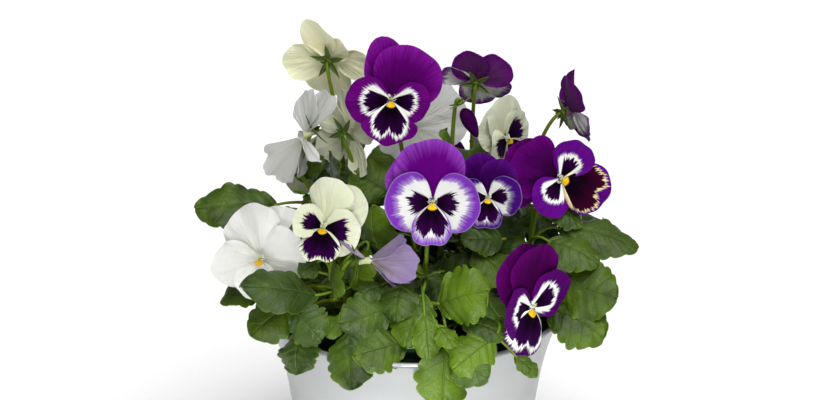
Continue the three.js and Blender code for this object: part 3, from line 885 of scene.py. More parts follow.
class Nodes:
    """The nodes of one material, made one call at a time."""

    def __init__(self, name: str) -> None:
        """Starts a material with its shader and its output.

        Args:
            name: The material's name.
        """
        self.material = bpy.data.materials.new(name)
        self.material.use_nodes = True
        self.tree = self.material.node_tree
        self.shader = self.tree.nodes["Principled BSDF"]

    def node(self, kind: str, settings: Settings, inputs: Inputs) -> bpy.types.Node:
        """Adds a node.

        Args:
            kind: The node's type.
            settings: Its own settings, such as a Math node's operation.
            inputs: The value or link of each input socket, by name or number.

        Returns:
            The node.
        """
        made = self.tree.nodes.new(kind)
        for name, value in settings.items():
            setattr(made, name, value)
        for key, value in inputs.items():
            self.feed(made.inputs[key], value)
        return made

    def feed(self, socket: Socket, value: Value | Socket | float | tuple) -> None:
        """Links a value or a socket to an input, or sets a plain value on it.

        Args:
            socket: The input.
            value: What it is given. A colour may leave out its alpha.
        """
        if isinstance(value, Value):
            value = value.socket
        if isinstance(value, Socket):
            self.tree.links.new(value, socket)
        elif isinstance(value, tuple) and len(value) == 3 and socket.type == "RGBA":
            socket.default_value = (*value, 1.0)
        else:
            socket.default_value = value

    def value(self, kind: str, settings: Settings, inputs: Inputs, output: int | str = 0) -> Value:
        """Adds a node and returns one of its outputs as a value."""
        return Value(self, self.node(kind, settings, inputs).outputs[output])

    def attribute(self, name: str) -> Value:
        """A number that is written on the piece's points."""
        return self.value("ShaderNodeAttribute", {"attribute_name": name}, {}, "Fac")

    def places(self) -> Socket:
        """The place on the piece, in metres."""
        return self.node("ShaderNodeTexCoord", {}, {}).outputs["Object"]

    def parts(self, vector: Socket) -> list[Value]:
        """The three numbers of a vector."""
        return [Value(self, part) for part in self.node("ShaderNodeSeparateXYZ", {}, {0: vector}).outputs]

    def blade(self) -> tuple[Value, Value]:
        """How far across a blade a place is, 0 to 1, and how far along it."""
        across, along, _ = self.parts(self.node("ShaderNodeUVMap", {"uv_map": "blade"}, {}).outputs[0])
        return across, along

    def scaled(self, places: Socket, scale: tuple, turn: tuple = (0.0, 0.0, 0.0)) -> Socket:
        """Places that are scaled along each axis and turned, for a pattern that runs one way."""
        return self.node("ShaderNodeMapping", {}, {0: places, "Rotation": turn, "Scale": scale}).outputs[0]

    def noise(self, where: Socket, scale: float, detail: float = 2.0, rough: float = 0.5) -> Value:
        """A smooth unevenness from 0 to 1."""
        inputs = {"Vector": where, "Scale": scale, "Detail": detail, "Roughness": rough}
        return self.value("ShaderNodeTexNoise", {}, inputs, "Fac")

    def vector(self, x: Value, y: Value, z: Value) -> Socket:
        """Three numbers as one vector."""
        return self.node("ShaderNodeCombineXYZ", {}, {0: x, 1: y, 2: z}).outputs[0]

    def mix(self, share: Value, first: Colour | Socket, second: Colour | Socket) -> Socket:
        """A blend of two colours."""
        made = self.node("ShaderNodeMix", {"data_type": "RGBA"}, {0: share, 6: first, 7: second})
        return made.outputs[2]

    def bump(self, height: Value, strength: float, distance: float) -> None:
        """Feeds the shader's normal from a height.

        Args:
            height: The height.
            strength: How strongly it shows.
            distance: How much it raises the surface, in metres.
        """
        inputs = {"Height": height, "Strength": strength, "Distance": distance}
        made = self.node("ShaderNodeBump", {}, inputs)
        self.feed(self.shader.inputs["Normal"], made.outputs[0])

    def finish(self, **sockets: Value | Socket | float) -> Material:
        """Feeds the shader's sockets.

        Args:
            sockets: What each is given, under its name with underscores for spaces.

        Returns:
            The material.
        """
        for name, value in sockets.items():
            self.feed(self.shader.inputs[name.replace("_", " ")], value)
        return self.material


def mixed(first: Colour, second: Colour, share: float) -> Colour:
    """A colour between two others."""
    return tuple(a + (b - a) * share for a, b in zip(first, second))


@dataclass(frozen=True)
class PotMetal:
    """Pale painted sheet metal with a soft mottle and a slightly polished rim, above a height in metres."""

    colour: Colour = (0.36, 0.37, 0.37)
    dull: Colour = (0.30, 0.31, 0.31)
    polished: Colour = (0.21, 0.22, 0.23)
    polished_from: float = 0.1462
    roughness: float = 0.28
    metallic: float = 0.25
    coat: float = 0.12

    def material(self) -> Material:
        """Builds the finish.

        Returns:
            The material.
        """
        nodes = Nodes("pot_metal")
        places = nodes.places()
        mottle = nodes.noise(places, 14.0, 4.0, 0.55)
        streak = nodes.noise(nodes.scaled(places, (60.0, 60.0, 5.0)), 6.0, 3.0)
        sheen = nodes.noise(nodes.scaled(places, (3.0, 3.0, 16.0), (0.0, 0.6, 0.0)), 2.2)
        rim = nodes.parts(places)[2].past(self.polished_from, 0.001)
        # worn mixes the soft mottle with the stretched, turned sheen noise, which paints broad diagonal
        # bands of reflection into the colour.
        worn = mottle.past(0.5, 0.5) * 0.4 + sheen.past(0.5, 0.3) * 0.35
        nodes.bump(mottle * 0.6 + streak * 0.3, 0.04, 0.002)
        return nodes.finish(
            Base_Color=nodes.mix(rim, nodes.mix(worn, self.colour, self.dull), self.polished),
            Roughness=(self.roughness + mottle * 0.14 + streak * 0.05 + sheen * 0.08) * (1 - rim * 0.3),
            Metallic=self.metallic + rim * 0.1,
            Coat_Weight=self.coat,
            Coat_Roughness=0.2,
        )


@dataclass(frozen=True)
class NurseryPlastic:
    """Very dark green moulded plastic with fine scratches and a little soil on it."""

    colour: Colour = (0.008, 0.022, 0.016)
    dust: Colour = (0.05, 0.045, 0.03)
    roughness: float = 0.28

    def material(self) -> Material:
        """Builds the finish.

        Returns:
            The material.
        """
        nodes = Nodes("nursery_plastic")
        places = nodes.places()
        grime = nodes.noise(places, 60.0, 4.0, 0.6)
        scuff = nodes.noise(places, 900.0)
        colour = nodes.mix(grime.past(0.62, 0.2) * 0.5, self.colour, self.dust)
        nodes.bump(scuff, 0.06, 0.0005)
        return nodes.finish(Base_Color=colour, Roughness=self.roughness + grime * 0.25)


@dataclass(frozen=True)
class Soil:
    """Dark, damp, crumbly compost with paler fibres."""

    dark: Colour = (0.012, 0.008, 0.005)
    light: Colour = (0.07, 0.043, 0.024)
    fibres: Colour = (0.16, 0.10, 0.055)
    roughness: float = 0.78

    def material(self) -> Material:
        """Builds the finish.

        Returns:
            The material.
        """
        nodes = Nodes("soil")
        places = nodes.places()
        crumb = nodes.noise(places, 420.0, 4.0, 0.65)
        clod = nodes.noise(places, 90.0, 3.0)
        fibre = nodes.noise(nodes.scaled(places, (1.0, 5.0, 3.0)), 260.0, 1.0).past(0.7, 0.06)
        colour = nodes.mix((crumb * 0.7 + clod * 0.5).past(0.6, 0.5), self.dark, self.light)
        colour = nodes.mix(fibre * 0.6, colour, self.fibres)
        nodes.bump(crumb + clod * 0.8, 0.9, 0.003)
        return nodes.finish(Base_Color=colour, Roughness=self.roughness + crumb * 0.2)


@dataclass(frozen=True)
class LeafGreen:
    """A toothed leaf: satin green, puckered between pinnate veins, with a thin pale margin.

    It reads three numbers on the blade's points. "tone" is 0 on an old dark leaf and 1 on
    a young bright one, and below 0 on a leaf deep in the bush, darkened there as painted shade.
    "cool" is how far the leaf takes a bluish-grey cast that is painted in for satin sheen,
    and "veins" is how many side veins each half has.
    """

    name: str
    shade: Colour
    middle: Colour
    young: Colour
    vein: Colour
    cool: Colour
    vein_strength: float
    roughness: float
    specular: float = 0.22

    def material(self) -> Material:
        """Builds the finish.

        Returns:
            The material.
        """
        nodes = Nodes(self.name)
        across, along = nodes.blade()
        tone = nodes.attribute("tone")
        places = nodes.places()
        side = abs(across * 2 - 1)
        patch = nodes.noise(places, 48.0, 3.0, 0.6)
        grain = nodes.noise(places, 1500.0)
        net = nodes.noise(places, 420.0, 3.0, 0.65)
        run = along - side * VEIN_SLANT - side * side * VEIN_CURVE + (patch - 0.5) * 0.06
        wave = (run * nodes.attribute("veins") * math.tau).math("COSINE")
        ribs = wave.past(0.965, 0.07) * (1 - side * 0.8) * (1 - along.past(0.93, 0.1))
        midrib = 1 - side.past(0.03, 0.04)
        bright = (tone + along * 0.22 + (patch - 0.5) * 1.1 - 0.18).math("ADD", 0.0, clamp=True)
        deep = nodes.mix(patch.past(0.5, 0.5), self.shade, self.middle)
        colour = nodes.mix(bright, deep, self.young)
        # A bluish-grey cast on some leaves, painted into the colour for their satin sheen.
        colour = nodes.mix(nodes.attribute("cool") * (0.35 + patch * 0.4), colour, self.cool)
        colour = nodes.mix(net.past(0.62, 0.3) * 0.25, colour, self.vein)
        veins = ribs.math("MAXIMUM", midrib * 1.2) * self.vein_strength
        colour = nodes.mix(veins.math("MINIMUM", 0.8), colour, self.vein)
        colour = nodes.mix(grain.past(0.6, 0.3) * 0.22, colour, self.shade)
        colour = nodes.mix(side.past(0.955, 0.04) * (0.35 + tone * 0.5), colour, self.young)
        swell = wave * (side - 1) * 0.25
        nodes.bump(net * 0.8 - ribs * 0.5 - midrib * 0.9 + grain * 0.16 + swell, 0.65, 0.0012)
        roughness = self.roughness + net * 0.18 + midrib * 0.08
        return nodes.finish(Base_Color=colour, Roughness=roughness, Specular_IOR_Level=self.specular)


@dataclass(frozen=True)
class StemGreen:
    """Ridged yellow-green stems and stalks."""

    pale: Colour = (0.150, 0.235, 0.008)
    deep: Colour = (0.062, 0.120, 0.005)
    roughness: float = 0.45
    specular: float = 0.25

    def material(self) -> Material:
        """Builds the finish.

        Returns:
            The material.
        """
        nodes = Nodes("stem_green")
        places = nodes.places()
        ridge = nodes.noise(nodes.scaled(places, (1.0, 1.0, 0.12)), 900.0)
        patch = nodes.noise(places, 45.0)
        nodes.bump(ridge, 0.25, 0.0006)
        return nodes.finish(
            Base_Color=nodes.mix((ridge * 0.5 + patch * 0.7).past(0.6, 0.6), self.pale, self.deep),
            Roughness=self.roughness + ridge * 0.15,
            Subsurface_Weight=0.08,
            Specular_IOR_Level=self.specular,
        )


@dataclass(frozen=True)
class FlowerPart:
    """A small soft part of a bloom, with a faint mottle."""

    name: str
    colour: Colour
    roughness: float = 0.6
    mottle: Colour = (0.1, 0.12, 0.02)

    def material(self) -> Material:
        """Builds the finish.

        Returns:
            The material.
        """
        nodes = Nodes(self.name)
        grain = nodes.noise(nodes.places(), 900.0)
        tint = nodes.mix(grain * 0.35, self.colour, mixed(self.colour, self.mottle, 0.4))
        nodes.bump(grain, 0.15, 0.0003)
        return nodes.finish(Base_Color=tint, Roughness=self.roughness, Subsurface_Weight=0.1)


class PetalPattern:
    """The places and the noises that a petal's colours are drawn with.

    It reads the petal's "blade" map and three numbers on its points: "out" is the place from
    the eye (0) to the rim (1), "lean" runs across the petal from -1 to 1 at its lower side,
    and "seed" makes each petal's pattern its own.
    """

    def __init__(self, nodes: Nodes) -> None:
        """Adds the rays and finer veins that run out, the clouds and the creases.

        Args:
            nodes: The material's nodes.
        """
        self.nodes = nodes
        _, self.ring = nodes.blade()
        self.out, self.lean, seed = (nodes.attribute(name) for name in ("out", "lean", "seed"))
        self.side = abs(self.lean)
        self.rays = nodes.noise(nodes.vector(self.lean * 17, self.out * 0.8, seed), 1.0, 4.0, 0.74)
        self.fine = nodes.noise(nodes.vector(self.lean * 46, self.out * 1.6, seed), 1.0, 2.0, 0.6)
        self.cloud = nodes.noise(nodes.vector(self.lean * 1.6, self.ring * 2.4, seed + 4.3), 1.0)
        self.crease = nodes.noise(nodes.vector(self.lean * 5, self.ring * 1.6, seed + 9.1), 1.0, 3.0)
        self.rag = self.rays - 0.5


@dataclass(frozen=True)
class PetalPaint:
    """How one petal is coloured, from its claw at the eye out to its rim.

    Ring places run from 0 at the eye to 1 at the rim. A blotch spreads from the eye with a ragged
    edge, a band lies between its ring and the margin, and veins run out like rays.
    """

    name: str
    ground: Colour
    deep: Colour
    band: Colour = (0.2, 0.02, 0.4)
    band_start: float = 2.0
    band_rag: float = 0.5
    band_soft: float = 0.05
    band_fade: float = 0.0
    band_clear: float = 0.0
    halo: Colour = (0.88, 0.88, 0.84)
    halo_width: float = 0.0
    margin: Colour = (0.85, 0.83, 0.88)
    margin_share: float = 0.0
    blotch: Colour = (0.004, 0.0003, 0.005)
    blotch_end: Colour = (0.024, 0.0005, 0.042)
    blotch_reach: float = 0.0
    blotch_spread: float = 0.62
    blotch_rag: float = 0.75
    blotch_cleft: float = 0.0
    vein: Colour = (0.1, 0.0, 0.2)
    vein_strength: float = 0.15
    claw: Colour = (0.80, 0.46, 0.012)
    claw_reach: float = 0.0
    shade: Colour = (0.5, 0.52, 0.5)
    shade_strength: float = 0.0
    relief: float = 0.35
    specular: float = 0.015

    def material(self) -> Material:
        """Builds the finish, one layer of colour over the other.

        Returns:
            The material.
        """
        nodes = Nodes(self.name)
        pattern = PetalPattern(nodes)
        fine, ring = pattern.fine, pattern.ring
        outer = (ring * 0.9 + (pattern.cloud - 0.5) * 0.7).past(0.5, 0.8)
        folds = (1 - pattern.cloud.past(0.5, 0.5)) * self.shade_strength
        base = nodes.mix(folds, nodes.mix(outer, self.deep, self.ground), self.shade)
        if self.band_start < 1:
            base = self.banded(pattern, base)
        base = nodes.mix(fine.past(0.60, 0.22) * self.vein_strength, base, self.vein)
        if self.blotch_reach > 0:
            base = self.blotched(pattern, base)
        if self.margin_share > 0:
            edge = 1 - self.margin_share * 0.8 + pattern.rag * self.margin_share
            base = nodes.mix(ring.past(edge, 0.02) * 0.6, base, self.margin)
        if self.claw_reach > 0:
            near = 1 - pattern.out.past(self.claw_reach + pattern.rag * 0.04, 0.02)
            base = nodes.mix(near * (1 - pattern.side.past(0.8, 0.1)), base, self.claw)
        nodes.bump(fine * 0.35 + pattern.rays * 0.35 + pattern.crease * 1.5, self.relief, 0.0012)
        roughness = 0.6 + (fine - 0.5) * 0.1
        return nodes.finish(Base_Color=base, Roughness=roughness, Specular_IOR_Level=self.specular)

    def banded(self, pattern: PetalPattern, base: Socket) -> Socket:
        """Lays the band over a petal, with an inner edge that runs out in rays.

        Args:
            pattern: The petal's pattern.
            base: The colour below.

        Returns:
            The colour.
        """
        drawn = pattern.lean.past(0.62, 0.5) * self.band_fade
        start = drawn + self.band_start + pattern.rag * self.band_rag + (pattern.cloud - 0.5) * 0.12
        soft = mixed(self.band, self.halo, 0.2)
        band = pattern.nodes.mix(pattern.ring.past(start + 0.10, 0.12), soft, self.band)
        share = pattern.ring.past(start, self.band_soft)
        if self.band_clear:
            share = share * pattern.out.past(self.band_clear + pattern.rag * 0.2, 0.08)
        return pattern.nodes.mix(share, base, band)

    def blotched(self, pattern: PetalPattern, base: Socket) -> Socket:
        """Lays the dark blotch over a petal, with its halo where it has one.

        Args:
            pattern: The petal's pattern.
            base: The colour below.

        Returns:
            The colour.
        """
        nodes, out, side, fray = pattern.nodes, pattern.out, pattern.side, pattern.fine - 0.5
        cleft = 1 - (side * 4.5).math("MINIMUM", 1.0)
        reach = (1 - side * side * 0.5 - cleft * self.blotch_cleft) * self.blotch_reach
        limit = reach + pattern.rag * self.blotch_rag + fray * 0.06
        flank = self.blotch_spread + pattern.rag * 0.3 + (0.5 - out) * 0.25
        if self.halo_width > 0:
            outer = reach + self.halo_width * (0.6 + pattern.cloud) + fray * 0.3
            wide = (1 - out.past(outer, 0.05)) * (1 - side.past(flank + 0.26, 0.12))
            base = nodes.mix(wide * 0.97, base, self.halo)
        dark = nodes.mix(out.past(limit * 0.72, 0.4), self.blotch, self.blotch_end)
        inside = (1 - out.past(limit, 0.02)) * (1 - side.past(flank, 0.05))
        return nodes.mix(inside, base, dark)

    def behind(self) -> PetalPaint:
        """The same petal's paler back, where a blotch only shows through.

        Returns:
            The back's paint.
        """
        return replace(
            self,
            name=self.name + "_back",
            ground=mixed(self.ground, (0.50, 0.47, 0.50), 0.04),
            deep=mixed(self.deep, mixed(self.ground, (0.50, 0.52, 0.36), 0.08), 0.5),
            blotch=mixed(self.blotch, self.ground, 0.55),
            blotch_end=mixed(self.blotch_end, self.ground, 0.7),
            blotch_reach=0.8 * self.blotch_reach,
            claw_reach=0.0,
            vein_strength=min(1.0, self.vein_strength + 0.1),
        )


WHITE = (0.64, 0.64, 0.62)
CREAM = (0.63, 0.65, 0.50)
CREAM_DEEP = (0.58, 0.60, 0.34)
CLAW_REACH = 0.17


@dataclass(frozen=True)
class MaskedColours:
    """The colours of a violet bloom with a dark mask and pale cheeks.

    Upper and deep colour its upper petals, rim their margin, and band the outer band of the other
    petals from the ring band_start. Halo is the width of the pale line round a blotch on a petal
    that has the band's colour all over, reach is how far a side petal's blotch goes, veins how
    strongly the veins show on the white, and lowest what differs on the lowest petal.
    """

    name: str
    upper: Colour
    deep: Colour
    rim: Colour
    band: Colour
    band_start: float
    halo: float = 0.0
    reach: float = 0.50
    veins: float = 0.05
    lowest: dict[str, Colour | float] = field(default_factory=dict)

    def paints(self) -> dict[Role, PetalPaint]:
        """The bloom's paints.

        Returns:
            A paint for each petal role.
        """
        top = PetalPaint(
            f"{self.name}_upper", self.upper, self.deep, band=self.rim, band_start=0.86, band_soft=0.3,
            halo=self.upper, vein=mixed(self.deep, (0, 0, 0), 0.3), vein_strength=0.5,
        )
        cheek = PetalPaint(
            f"{self.name}_side", WHITE, WHITE, band=self.band, band_start=self.band_start, band_fade=0.35,
            band_clear=0.0 if self.halo else 0.5, halo_width=self.halo, margin=mixed(self.band, WHITE, 0.4),
            margin_share=0.0 if self.halo else 0.02, blotch_reach=self.reach, blotch_spread=0.42,
            blotch_rag=0.5 if self.halo else 0.65, vein=(0.30, 0.10, 0.45), vein_strength=self.veins,
        )
        chin = replace(
            cheek, name=f"{self.name}_lowest", band_start=min(0.80, self.band_start + 0.14), band_fade=0.0,
            band_clear=0.0, blotch_reach=max(0.80, 1.42 * self.reach), blotch_spread=0.80, blotch_rag=0.45,
            blotch_cleft=0.26, claw_reach=CLAW_REACH,
        )
        return {Role.UPPER: top, Role.SIDE: cheek, Role.LOWEST: replace(chin, **self.lowest)}


@dataclass(frozen=True)
class PlainColours:
    """The colours of a white, cream or lilac bloom.

    Shade colours the soft shadows in its folds, and reach is how far its dark blotches go, or 0
    for none.
    """

    name: str
    ground: Colour
    deep: Colour
    shade: Colour
    reach: float = 0.0

    def paints(self) -> dict[Role, PetalPaint]:
        """The bloom's paints.

        Returns:
            A paint for each petal role.
        """
        top = PetalPaint(
            f"{self.name}_upper", self.ground, self.deep, vein=self.shade, vein_strength=0.30,
            shade=self.shade, shade_strength=0.55, relief=0.95,
        )
        cheek = replace(top, name=f"{self.name}_side", blotch_reach=self.reach, blotch_spread=0.5)
        chin = replace(
            cheek, name=f"{self.name}_lowest", blotch_reach=1.35 * self.reach, blotch_spread=0.8,
            blotch_cleft=0.2, claw_reach=CLAW_REACH,
        )
        return {Role.UPPER: top, Role.SIDE: cheek, Role.LOWEST: chin}


COLOURS = {colours.name: colours for colours in (
    MaskedColours(
        "violet", (0.085, 0.0005, 0.110), (0.035, 0.0003, 0.045), (0.12, 0.003, 0.17),
        (0.088, 0.004, 0.18), 0.45, halo=0.06,
    ),
    MaskedColours(
        "violet_front", (0.112, 0.0006, 0.180), (0.070, 0.0003, 0.115), (0.25, 0.05, 0.43),
        (0.150, 0.026, 0.340), 0.70,
    ),
    MaskedColours(
        "violet_top", (0.118, 0.0005, 0.162), (0.050, 0.0003, 0.062), (0.20, 0.009, 0.27),
        (0.112, 0.001, 0.152), 0.18, halo=0.08, reach=0.60,
    ),
    MaskedColours(
        "violet_right", (0.078, 0.0004, 0.108), (0.018, 0.0003, 0.022), (0.115, 0.002, 0.15),
        (0.098, 0.002, 0.19), 0.18, halo=0.08, reach=0.55,
        lowest={
            "halo": (0.82, 0.70, 0.36), "halo_width": 0.035, "blotch_reach": 0.88, "claw_reach": 0.13,
            "blotch_end": (0.034, 0.0006, 0.016), "vein": (0.001, 0.0, 0.002), "vein_strength": 0.3,
        },
    ),
    MaskedColours(
        "violet_small", (0.042, 0.0004, 0.090), (0.020, 0.0002, 0.040), (0.085, 0.005, 0.18),
        (0.046, 0.003, 0.15), 0.62, reach=0.56,
    ),
    MaskedColours(
        "violet_low", (0.058, 0.0003, 0.066), (0.025, 0.0002, 0.026), (0.085, 0.001, 0.10),
        (0.062, 0.001, 0.095), 0.22, halo=0.09, reach=0.58,
    ),
    MaskedColours(
        "violet_back", (0.098, 0.0005, 0.122), (0.045, 0.0003, 0.055), (0.13, 0.004, 0.18),
        (0.105, 0.004, 0.17), 0.80, veins=0.35,
    ),
    PlainColours("cream", CREAM, CREAM_DEEP, (0.50, 0.52, 0.34)),
    PlainColours("cream_masked", CREAM, CREAM_DEEP, (0.55, 0.58, 0.44), reach=0.68),
    PlainColours("cream_aged", (0.88, 0.88, 0.62), (0.76, 0.76, 0.34), (0.74, 0.73, 0.50)),
    PlainColours("white", WHITE, (0.66, 0.67, 0.58), (0.52, 0.53, 0.52)),
    PlainColours("lilac", (0.27, 0.20, 0.36), (0.50, 0.48, 0.36), (0.13, 0.07, 0.25)),
)}

# Blooms that wear the colours under another name.
WORN = {
    "violet_far": "violet_back",
    "cream_tall": "cream_aged",
    "cream_front": "cream_masked",
    "cream_right": "cream_masked",
}

BUD_PAINT = PetalPaint(
    "bud_wrap", (0.050, 0.001, 0.070), (0.030, 0.001, 0.038), vein=(0.012, 0.0, 0.02), vein_strength=0.5
)
PALE_SPUR = FlowerPart("spur_pale", (0.50, 0.50, 0.28))
VIOLET_SPUR = FlowerPart("spur_violet", (0.09, 0.02, 0.11))
THROAT_HAIR = FlowerPart("petal_hair", (0.85, 0.86, 0.74))
STYLE_GREEN = FlowerPart("style_green", (0.42, 0.52, 0.10), 0.4)


class Finishes:
    """Every finish of the plant, each built once and shared by the pieces that wear it."""

    def __init__(self) -> None:
        """Builds the foliage finishes."""
        self.made: dict[str, Material] = {}
        upper = LeafGreen(
            "leaf_upper", (0.005, 0.012, 0.001), (0.037, 0.073, 0.005), (0.102, 0.183, 0.004),
            (0.092, 0.150, 0.022), (0.034, 0.062, 0.014), vein_strength=0.20, roughness=0.28,
        )
        under = LeafGreen(
            "leaf_under", (0.040, 0.064, 0.018), (0.064, 0.100, 0.024), (0.105, 0.160, 0.012),
            (0.14, 0.19, 0.06), (0.070, 0.100, 0.040), vein_strength=0.45, roughness=0.5,
        )
        self.foliage = [upper.material(), under.material(), StemGreen().material()]

    def material(self, finish: PetalPaint | FlowerPart) -> Material:
        """A finish's material, built on first use.

        Args:
            finish: The finish.

        Returns:
            The material.
        """
        if finish.name not in self.made:
            self.made[finish.name] = finish.material()
        return self.made[finish.name]

    def petals(self, name: str, variety: Variety) -> list[Material]:
        """The face and back finish of each petal role, in the roles' order.

        Args:
            name: The bloom's name, because some blooms have colours of their own.
            variety: The bloom's kind.

        Returns:
            The materials.
        """
        worn = WORN.get(name, name if name in COLOURS else variety.value)
        paints = COLOURS[worn].paints()
        return [self.material(paint) for role in Role for paint in (paints[role], paints[role].behind())]


@dataclass
class CoverPot:
    """The pale metal pot: a tapered wall, a flared lip, a rolled rim bead and a pressed foot."""

    height: float = POT_HEIGHT
    base_radius: float = 70.5
    taper: float = 0.148
    lip_flare: float = 8.0
    lip_start: float = 95.0
    wall: float = 1.4
    bead_radius: float = 1.7
    bead_reach: float = 3.6
    bead_arc: Pair = (-70.0, 205.0)
    foot_radius: float = 2.0
    corner_step: float = 1.5
    sides: int = 144

    def radius(self, height: float) -> float:
        """The outer radius at a height: a cone whose lip flares."""
        lip = max(0.0, height - self.lip_start) / (self.height - self.lip_start)
        return self.base_radius + self.taper * height + self.lip_flare * lip * lip

    def build(self) -> None:
        """Turns the pot's outline."""
        wall = np.linspace(2 * self.foot_radius, self.lip_start, 8)
        lip = np.linspace(self.lip_start + 5, self.height - self.bead_reach, 12)
        heights = [float(height) for height in (*wall, *lip)]
        foot = [
            (self.radius(0) - self.foot_radius * (1 - math.sin(a)), self.foot_radius * (1 - math.cos(a)))
            for a in np.linspace(0, math.pi / 2, 5)
        ]
        rim, bead = self.radius(self.height), self.bead_radius
        profile = [
            (0, 0), (50, 0), *foot, *((self.radius(h), h) for h in heights),
            *(
                (rim + bead * math.cos(a), self.height - bead + bead * math.sin(a))
                for a in np.radians(np.linspace(*self.bead_arc, 15))
            ),
            *((self.radius(h) - self.wall, h) for h in reversed(heights)),
            (self.radius(self.wall) - self.wall - self.corner_step, self.wall),
            (40, self.wall), (0, self.wall),
        ]
        self.piece = lathe("pot_body", profile, self.sides)
        soften(self.piece, 50)

    def dress(self) -> None:
        """Paints the pot and sets it on its node."""
        wear(self.piece, PotMetal().material())
        settle_piece(self.piece, "cover_pot", "cover_pot")


@dataclass
class NurseryPot:
    """The dark plastic pot inside: a stepped collar with a rounded lip, and drain holes in its floor."""

    floor: float
    top: float = 153.0
    lip_radius: float = 84.0
    collar: float = 13.0
    collar_step: float = 3.0
    base_radius: float = 60.0
    wall: float = 1.3
    waist: float = 70.0
    drain_holes: int = 6
    drain_radius: float = 5.0
    drain_circle: float = 40.0
    sides: int = 96

    def radius(self, height: float) -> float:
        """The outer radius at a height below the collar."""
        slope = (self.lip_radius - self.collar_step - self.base_radius) / (self.top - self.collar)
        return self.base_radius + slope * height

    def build(self) -> None:
        """Turns the pot's outline and cuts its drain holes."""
        floor, top, wall, lip = self.floor, self.top, self.wall, self.lip_radius
        neck = top - self.collar
        outside = [
            (0, floor), (self.radius(floor) - 1, floor), (self.radius(floor), floor + 1),
            (self.radius(self.waist), self.waist), (self.radius(neck), neck),
        ]
        collar = [
            (lip - 1.0, neck + 0.4), (lip - 0.6, neck + 1.2), (lip - 0.1, neck + 5), (lip + 0.5, top - 1.6),
            (lip + 0.9, top - 0.9), (lip + 0.7, top - 0.2), (lip + 0.2, top), (lip - wall, top),
            (lip - wall - 0.3, top - 0.4), (lip - wall - 0.6, neck + 2.2),
        ]
        inside = [
            (self.radius(neck) - wall, neck), (self.radius(self.waist) - wall, self.waist),
            (self.radius(floor) - wall, floor + wall), (0, floor + wall),
        ]
        self.piece = lathe("nursery_shell", outside + collar + inside, self.sides)
        for i in range(self.drain_holes):
            self.cut(math.tau * i / self.drain_holes)
        soften(self.piece, 40)

    def cut(self, angle: float) -> None:
        """Cuts one drain hole through the floor.

        Args:
            angle: Where it is round the pot, in radians.
        """
        select_none()
        x, y = self.drain_circle * math.cos(angle), self.drain_circle * math.sin(angle)
        place = (x * MM, y * MM, self.floor * MM)
        bpy.ops.mesh.primitive_cylinder_add(
            vertices=24, radius=self.drain_radius * MM, depth=8 * MM, location=place
        )
        cutter = bpy.context.object
        apply_modifier(self.piece, "BOOLEAN", operation="DIFFERENCE", solver="EXACT", object=cutter)
        bpy.data.objects.remove(cutter, do_unlink=True)

    def dress(self) -> None:
        """Colours the pot and sets it on its node."""
        wear(self.piece, NurseryPlastic().material())
        settle_piece(self.piece, "nursery_pot", "nursery_pot")


@dataclass
class Compost:
    """The root ball: lumpy on top, with loose crumbs lying on it."""

    pot: NurseryPot
    top: float = COMPOST_TOP
    dip: float = 1.4
    shoulder: float = 3.0
    crumbs: int = 150
    crumb_circle: float = 76.0
    crumb_sizes: Pair = (0.8, 2.4)
    sides: int = 96
    seed: int = 11

    def build(self) -> None:
        """Turns the root ball and raises its top."""
        foot = self.pot.floor + self.pot.wall + FIT_GAP
        edge = self.pot.radius(self.top) - self.pot.wall - 1
        level = self.top - self.dip
        profile = [
            (0, foot), (self.pot.radius(foot) - self.pot.wall - 2.5, foot), (edge, self.top - self.shoulder),
            *((float(r), level) for r in np.linspace(edge - 1, 3, 34)), (0, level),
        ]
        ball = lathe("root_ball", profile, self.sides)
        points = corners_of(ball) / MM
        lumps = 0.9 * wander(points, 0.16, 2.0) + 0.7 * wander(points, 0.55, 5.0)
        lumps += 0.35 * wander(points, 1.9, 8.0)
        raised = points[:, 2] > self.top - self.shoulder + 0.1
        points[raised, 2] += lumps[raised]
        ball.data.vertices.foreach_set("co", (points * MM).ravel())
        self.piece = join([ball, *self.loose()], "root_ball")
        soften(self.piece, 70)

    def loose(self) -> list[Piece]:
        """Crumbs scattered on the top.

        Returns:
            The crumbs, each a squashed few-sided lump.
        """
        draw = Random(self.seed)
        select_none()
        bpy.ops.mesh.primitive_ico_sphere_add(subdivisions=1, radius=MM)
        first = bpy.context.object
        made = []
        for _ in range(self.crumbs):
            angle, radius = draw.uniform(0, math.tau), self.crumb_circle * math.sqrt(draw.random())
            size = draw.uniform(*self.crumb_sizes)
            crumb = first.copy()
            crumb.data = first.data.copy()
            link(crumb)
            place = vec(radius * math.cos(angle), radius * math.sin(angle), self.top - 0.4)
            for vertex in crumb.data.vertices:
                shape = np.array(vertex.co) / MM * size * vec(1, draw.uniform(0.6, 1), 0.6)
                vertex.co = (place + shape * draw.uniform(0.8, 1.15)) * MM
            made.append(crumb)
        bpy.data.objects.remove(first, do_unlink=True)
        return made

    def dress(self) -> None:
        """Colours the compost and sets it on its node."""
        wear(self.piece, Soil().material())
        settle_piece(self.piece, "compost", "compost")


